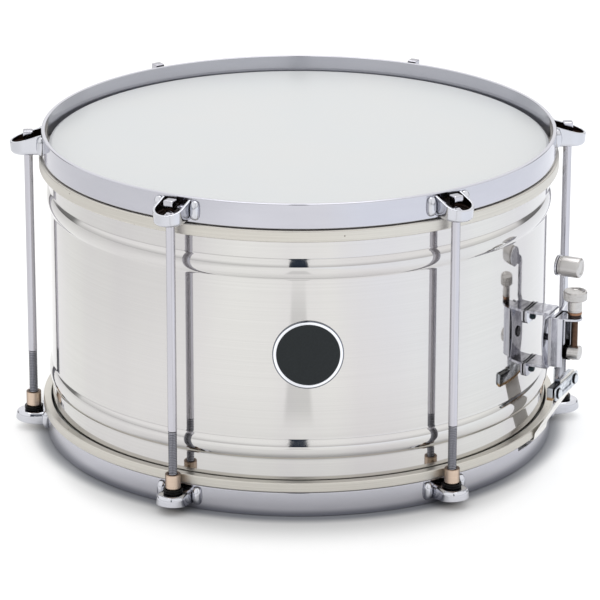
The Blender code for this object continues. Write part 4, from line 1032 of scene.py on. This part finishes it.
# Painted shade: the front plate's inner face and the back of its pressed slot are near-black.
front = with_painted_shade(front, lambda x, y, z: (x < FRONT_IN + 0.25) * 1.0)
piece("clamp_front", front, JAW, "link", "cast_chrome", "link_plate_near", sharp=50.0, even=True)
top = CLAMP_TOP - 0.2
corners = [
    (CLAMP_FROM + 0.3, CLAMP_LOW + 0.4), (CLAMP_TO - 0.3, CLAMP_LOW + 0.4), (CLAMP_TO - 0.3, top),
    (-2.6, top), (-3.2, top), (CLAMP_FROM + 1.2, top), (CLAMP_FROM + 0.3, top)]
back = plate([corners], BACK_IN, BACK_OUT, 0.3, "X")
# Painted shade: the back plate's top is near-black between y = -16.7 and -3 mm.
back = with_painted_shade(back, lambda x, y, z: ((z > CLAMP_TOP - 0.6) & (y < -3.0) & (y > CLAMP_FROM + 0.8)) * 1.0)
piece("clamp_back", back, JAW, "link", "cast_chrome", "strap_clamp", sharp=50.0, even=True)
leaf = rounded([(-3.4, -131.5), (3.4, -131.5), (3.4, -122.0), (-3.4, -122.0)], 1.0)
leaf = plate([leaf], LEAF_IN, LEAF_OUT, 0.25, "X")
piece("clamp_leaf", leaf, JAW, "link", "cast_chrome", "link_plate_far", sharp=50.0, even=True)
head = rounded([
    (0.0, 179.4), (2.2, 179.2), (3.0, 178.7), (3.15, 178.2), (3.15, 177.8), (3.6, 177.8), (3.6, 177.5),
    (0.0, 177.5)], (0, 0.8, 0.5, 0.2, 0.1, 0.1, 0.1, 0), False)
# Painted shade on the side and foot of each screw head.
seat = np.clip((head[:, :1] - 2.9) / 0.2, 0, 1) * (head[:, 1:] < 178.7)
for name, node, y in zip(("near", "far"), ("lower", "upper"), CLAMP_SCREWS):
    mesh = skin((laid(turned(head, 48), "X", (0.0, y, CLAMP_MIDDLE)), False, True, seat))
    piece(f"clamp_screw_{name}", mesh, JAW, "link", "satin_nickel", f"link_rivet_{node}", sharp=50.0)

# Snare straps
# White plastic straps run from the clamps down past the hoop, in over its gate, down between hoop and
# shell, and under the snare head to the snares' end plates. A hem of the strap rides with the clamp.
STRAP_THICK = 0.5
STRAP_X = (FRONT_IN + BACK_OUT) / 2
STRAP_FROM = -5.0
STRAP_TO = 18.0
BUTT_STRAP = 7.5
SNARE_Z = -176.5
SNARE_END = 129.0


def strap(route, bend, start, end, thick):
    """A strap's points: a route of (x, z) points with rounded bends, carried from start to end across Y as a
    thin closed section. Each face stands half a thickness off the route, square to it. Below z = -150 mm the
    strap bends to the hoop's curve, x = x - y * y / (2 * HOOP_OUT)."""
    line = rounded(route, bend, False, 6)
    line = line[np.concatenate([[True], np.linalg.norm(np.diff(line, axis=0), axis=1) > 0.02])]
    square = beside(line) * thick / 2
    y = np.concatenate([[start], np.linspace(start + 0.25, end - 0.25, 9), [end]])
    share = np.where((y == start) | (y == end), 0.55, 1.0)
    x, z = np.stack([line + square * amount for amount in (*share, *-share[::-1])]).transpose(2, 0, 1)
    y = np.concatenate([y, y[::-1]])[:, None]
    curved = y ** 2 / (2 * HOOP_OUT) * np.clip((-150.0 - z) / 15.0, 0, 1)
    return np.stack(np.broadcast_arrays(x - curved, y, z), axis=-1)


lower = [
    (160.2, -165.9), (159.7, -169.5), (158.6, -170.9), (155.3, -170.9), (154.1, -172.0), (154.1, -175.2),
    (152.9, SNARE_Z), (SNARE_END + 0.3, SNARE_Z)]
near_route = [(STRAP_X, -138.2), (STRAP_X, -139.2)] + lower
held_route = [(STRAP_X, -129.0), (STRAP_X, -139.2), (174.37, -141.95)]
butt_route = [(162.25, -131.0), (162.25, -142.0)] + lower

# White plastic film: slightly glossy, a little dirty where it is handled.
WHITE, tree, shader, place = look("white strap plastic", "#f2f1ee", 0.0, 0.4, Specular_IOR_Level=0.4)
dirt = add(tree, "TexNoise", place, Scale=70.0, Detail=4.0)
finish(tree, shader, dirt, ("#f6f5f2", "#e6e4df"), (0.32, 0.5), (dirt, 0.1, 0.0001))

bends = (0.1, 3.0, 4.0, 0.8, 0.8, 0.6, 0.6, 0.6, 0.5, 0.1)
grid = strap(held_route, (0.1, 3.0, 0.1), STRAP_FROM - 0.1, STRAP_TO + 0.1, STRAP_THICK + 0.15)
mesh = skin((grid, True, False))
piece("strap_hem", mesh, WHITE, "link", "white_strap", sharp=50.0)
mesh = skin((strap(near_route, bends, STRAP_FROM, STRAP_TO, STRAP_THICK), True, False))
snare_strap = piece("strainer_strap", mesh, WHITE, "drum", "white_strap", "snare_strap", sharp=50.0)
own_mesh(snare_strap)
grid = strap(butt_route, bends, -BUTT_STRAP, BUTT_STRAP, STRAP_THICK) * (-1.0, 1.0, 1.0)
mesh = skin((grid, True, False))
piece("butt_end_strap", mesh, WHITE, "drum", "white_strap", "butt_strap", sharp=50.0)

# Snares
# Ten coiled steel wires lie against the lower head, soldered at each end to a plate that the strap holds.
WIRES = 10
WIRE_R = 0.65
WIRE_DEEP = 0.22
WIRE_PITCH = 1.2
WIRE_END = 120.0
END_IN = 117.0
END_THICK = 0.7
SNARE_HALF = 21.0


def coil(y):
    """One coiled wire, drawn as a screw-shaped tube: its radius swells and falls once a pitch. The real pitch
    of about 0.5 mm is drawn as 1.2 mm."""
    tube = thread(WIRE_R, WIRE_DEEP, WIRE_PITCH, WIRE_END, -WIRE_END, 1000, 8)
    return laid(tube, "X", (0.0, y, SNARE_Z))


# Bright coiled wire and solder.
WIRE, tree, shader, place = look("snare wire", "#b9babd", 1.0, 0.22)
tarnish = add(tree, "TexNoise", place, Scale=150.0, Detail=3.0)
finish(tree, shader, tarnish, ("#a9a9ac", "#cdcdd0"), (0.16, 0.32))

ends = []
for side in (-1, 1):
    low, high = sorted((side * END_IN, side * SNARE_END))
    corners = [(low, -SNARE_HALF), (high, -SNARE_HALF), (high, SNARE_HALF), (low, SNARE_HALF)]
    ends.append(plate([rounded(corners, 1.5)], SNARE_Z - END_THICK / 2, SNARE_Z + END_THICK / 2, 0.12, "Z"))
wires = [(coil(y), False, True) for y in np.linspace(2.0 - SNARE_HALF, SNARE_HALF - 2.0, WIRES)]
mesh = together(skin(*wires), *ends)
piece("snare_wires", mesh, WIRE, "snares", "snare_wire", "snare_unit", sharp=60.0)

# Butt end
# Opposite the strainer a bent steel plate is screwed to the shell, and a small bar with two screws clamps
# the other strap to its lip.
BUTT_HALF = 9.0
BUTT_TOP = -100.0
BUTT_TAB = -128.0
BUTT_LOW = BUTT_TAB - 13.0
BUTT_LIP = 161.7
BUTT_BAR = 162.8
SCREW_DROPS = (6.0, 20.0)
SCREW_SIDES = (-5.0, 5.0)


def buttons(outline, steps, *at):
    """Round screw heads on the far side, where X is negative, one at each (y, z) place."""
    return skin(*((laid(turned(outline, steps), "X", (0.0, *place)) * (-1.0, 1.0, 1.0), False, True)
                  for place in at))


under = BUTT_TAB - STEEL_THICK
lip_in = STEEL_THICK - BUTT_LIP
face = -FACE - STEEL_THICK
bracket = rounded([
    (-FACE, BUTT_TOP), (-FACE, under), (lip_in, under), (lip_in, BUTT_LOW), (-BUTT_LIP, BUTT_LOW),
    (-BUTT_LIP, BUTT_TAB), (face, BUTT_TAB), (face, BUTT_TOP)], (0.2, 0.3, 0.4, 0.3, 0.3, 1.4, 0.5, 0.4))
head = rounded([
    (0.0, 156.7), (2.2, 156.6), (3.2, 155.9), (3.4, 154.9), (3.4, 154.3)], (0, 1.0, 0.6, 0.2, 0), False)
heads = buttons(head, 40, *((0.0, BUTT_TOP - drop) for drop in SCREW_DROPS))
mesh = together(plate([bracket], -BUTT_HALF, BUTT_HALF, 0.25, "Y"), heads)
piece("butt_angle", mesh, STEEL, "drum", "plated_steel", "butt_plate", sharp=50.0, even=True)
top = BUTT_TAB - 2.5
bar = rounded([(-BUTT_HALF, BUTT_LOW), (BUTT_HALF, BUTT_LOW), (BUTT_HALF, top), (-BUTT_HALF, top)], 1.6)
head = rounded([
    (0.0, BUTT_BAR + 3.6), (1.8, BUTT_BAR + 3.5), (2.4, BUTT_BAR + 2.9), (2.4, BUTT_BAR + 1.0)],
    (0, 0.8, 0.4, 0), False)
heads = buttons(head, 32, *((y, BUTT_TAB - 7.8) for y in SCREW_SIDES))
mesh = together(plate([bar], -BUTT_BAR - 2.2, -BUTT_BAR, 0.3, "X"), heads)
piece("butt_bar", mesh, CAST, "drum", "cast_chrome", "butt_clamp", sharp=50.0, even=True)

# Studio
# A pale seamless floor that glows a little and is darker close to the hoop, an even white surround with a
# narrow dark stand at the camera and two dim places behind the drum, and one large soft light above.
FLOOR_Z = -184.65
FLOOR_HALF = 6.0
CAMERA_ROUND = math.radians(24.2)
CAMERA_DOWN = math.radians(19.354)
CAMERA_ROLL = 0.0016
CAMERA_AT = (0.93476, -2.07799, 0.69592)


def from_camera(tree, place):
    """A place's three sockets as the camera faces it: towards the camera, to its right, and up."""
    faced = add(tree, "Mapping", place, Rotation=(0.0, 0.0, math.pi / 2 - CAMERA_ROUND))
    return add(tree, "SeparateXYZ", faced).outputs


mesh = bpy.data.meshes.new("floor")
corners = [(-1, -1), (1, -1), (1, 1), (-1, 1)]
corners = [(x * FLOOR_HALF, y * FLOOR_HALF, FLOOR_Z * MM) for x, y in corners]
mesh.from_pydata(corners, [], [(0, 1, 2, 3)])
floor = bpy.data.objects.new("floor", mesh)
bpy.context.scene.collection.objects.link(floor)

# Paper: nearly white with faint clouds of fibre, and its glow is painted light. The drum's own shade is drawn
# as a ring where the glow starts, further out in front than at the sides. The glow is a little stronger
# towards the camera, is dimmed in front close by and to the left, and takes a painted cool tint to the right,
# and a painted contact shadow darkens the paper close to the hoop. The stand's reflection is a dimmed strip
# in front.
PAPER, tree, shader, place = look("paper floor", "#cccccc", 0.0, 0.7, Specular_IOR_Level=0.2)
front, right, up = from_camera(tree, place)
flat = add(tree, "CombineXYZ", front, right)
far = add(tree, "VectorMath", flat, operation="LENGTH").outputs["Value"]
toward = add(tree, "Math", front, far, operation="DIVIDE")
aside = add(tree, "Math", right, operation="ABSOLUTE")
begins, full, shy, left, far_left, at_right, narrow, before, after = [
    add(tree, "MapRange", *row) for row in (
        (toward, 0.5, 1.0, 0.152, 0.162), (toward, 0.5, 1.0, 0.176, 0.207), (toward, 0.55, 0.95, 1.0, 0.82),
        (right, -0.42, -0.24, 0.8, 1.0), (right, -0.75, -0.35, 0.7, 1.0), (right, 0.12, 0.3),
        (aside, 0.022, 0.03, 1.0, 0.0), (front, 0.29, 0.33), (front, 0.5, 0.6, 1.0, 0.0))]
rising = add(tree, "MapRange", far, begins, full, interpolation_type="SMOOTHSTEP")
slower = add(tree, "MapRange", far, 0.2, 0.36, shy)
stand = narrow
for share in (before, after):
    stand = add(tree, "Math", stand, share, operation="MULTIPLY")
dimmed = add(tree, "Math", stand, -0.6, 1.0, operation="MULTIPLY_ADD")
glow = add(tree, "Math", toward, 0.05, 0.4, operation="MULTIPLY_ADD")
for share in (rising, slower, dimmed, left, far_left):
    glow = add(tree, "Math", glow, share, operation="MULTIPLY")
cool = add(tree, "MixRGB", at_right, "#ffffff", (1.02, 1.09, 1.2, 1.0))
fibre = add(tree, "TexNoise", place, Scale=3.0, Detail=3.0)
tone = add(tree, "MixRGB", fibre, "#cecece", "#cacaca")
clear = add(tree, "MapRange", far, 0.16, 0.17, interpolation_type="SMOOTHSTEP")
shaded = add(tree, "MixRGB", clear, "#808287", tone)
join(tree, shader, Base_Color=shaded, Emission_Strength=glow, Emission_Color=cool)
mesh.materials.append(PAPER)

# Surround: white, brighter from the horizon up. The stand is a narrow dark wedge that points to the camera,
# and the dim places lie behind the drum, low down.
world = bpy.data.worlds.new("studio")
bpy.context.scene.world = world
world.use_nodes = True
tree = world.node_tree
sky = tree.nodes["Background"]
front, right, up = from_camera(tree, add(tree, "TexCoord").outputs["Generated"])
aside = add(tree, "Math", right, operation="ABSOLUTE")
wedge = add(tree, "Math", front, 0.072, operation="MULTIPLY")
within = add(tree, "Math", wedge, aside, operation="GREATER_THAN")
below = add(tree, "Math", up, 0.9, operation="LESS_THAN")
stand = add(tree, "Math", within, below, operation="MULTIPLY")
shown = add(tree, "MixRGB", stand, "#ffffff", (0.03, 0.04, 0.06, 1.0))
lift, enter, leave, low = [
    add(tree, "MapRange", *row) for row in (
        (up, 0.0, 0.3, 0.8, 1.22), (front, -0.82, -0.72), (front, -0.5, -0.4, 1.0, 0.0),
        (up, 0.25, 0.42, 1.0, 0.0))]
dim = enter
for share in (leave, low):
    dim = add(tree, "Math", dim, share, operation="MULTIPLY")
dimmed = add(tree, "Math", dim, -0.72, 1.0, operation="MULTIPLY_ADD")
bright = add(tree, "Math", lift, dimmed, operation="MULTIPLY")
tree.links.new(bright.outputs[0], sky.inputs["Strength"])
tree.links.new(shown.outputs[0], sky.inputs["Color"])


def softbox(name, at, aim, size, power):
    """A square area light at a place, turned to face a point, in metres and watts."""
    light = bpy.data.lights.new(name, "AREA")
    light.shape = "RECTANGLE"
    light.size, light.size_y = size
    light.energy = power
    made = bpy.data.objects.new(name, light)
    made.location = at
    made.rotation_euler = (Vector(aim) - Vector(at)).to_track_quat("-Z", "Y").to_euler()
    bpy.context.scene.collection.objects.link(made)
    return made


softbox("overhead softbox", (-0.2, 0.4, 1.5), (0.0, 0.0, -0.1), (0.9, 0.9), 6.0)

camera = bpy.data.cameras.new("camera")
camera.lens = 233.29
camera.sensor_width = 36.0
camera.clip_start = 0.1
camera.clip_end = 50.0
level = Vector((math.cos(CAMERA_ROUND), math.sin(CAMERA_ROUND), 0.0))
flat = math.cos(CAMERA_DOWN)
forward = Vector((-level.y * flat, level.x * flat, -math.sin(CAMERA_DOWN)))
rise = level.cross(forward)
right = math.cos(CAMERA_ROLL) * level + math.sin(CAMERA_ROLL) * rise
up = math.cos(CAMERA_ROLL) * rise - math.sin(CAMERA_ROLL) * level
viewer = bpy.data.objects.new("camera", camera)
viewer.matrix_world = Matrix((*zip(right, up, -forward, CAMERA_AT), (0, 0, 0, 1)))
bpy.context.scene.collection.objects.link(viewer)
bpy.context.scene.camera = viewer
bpy.context.scene.view_settings.view_transform = "Standard"
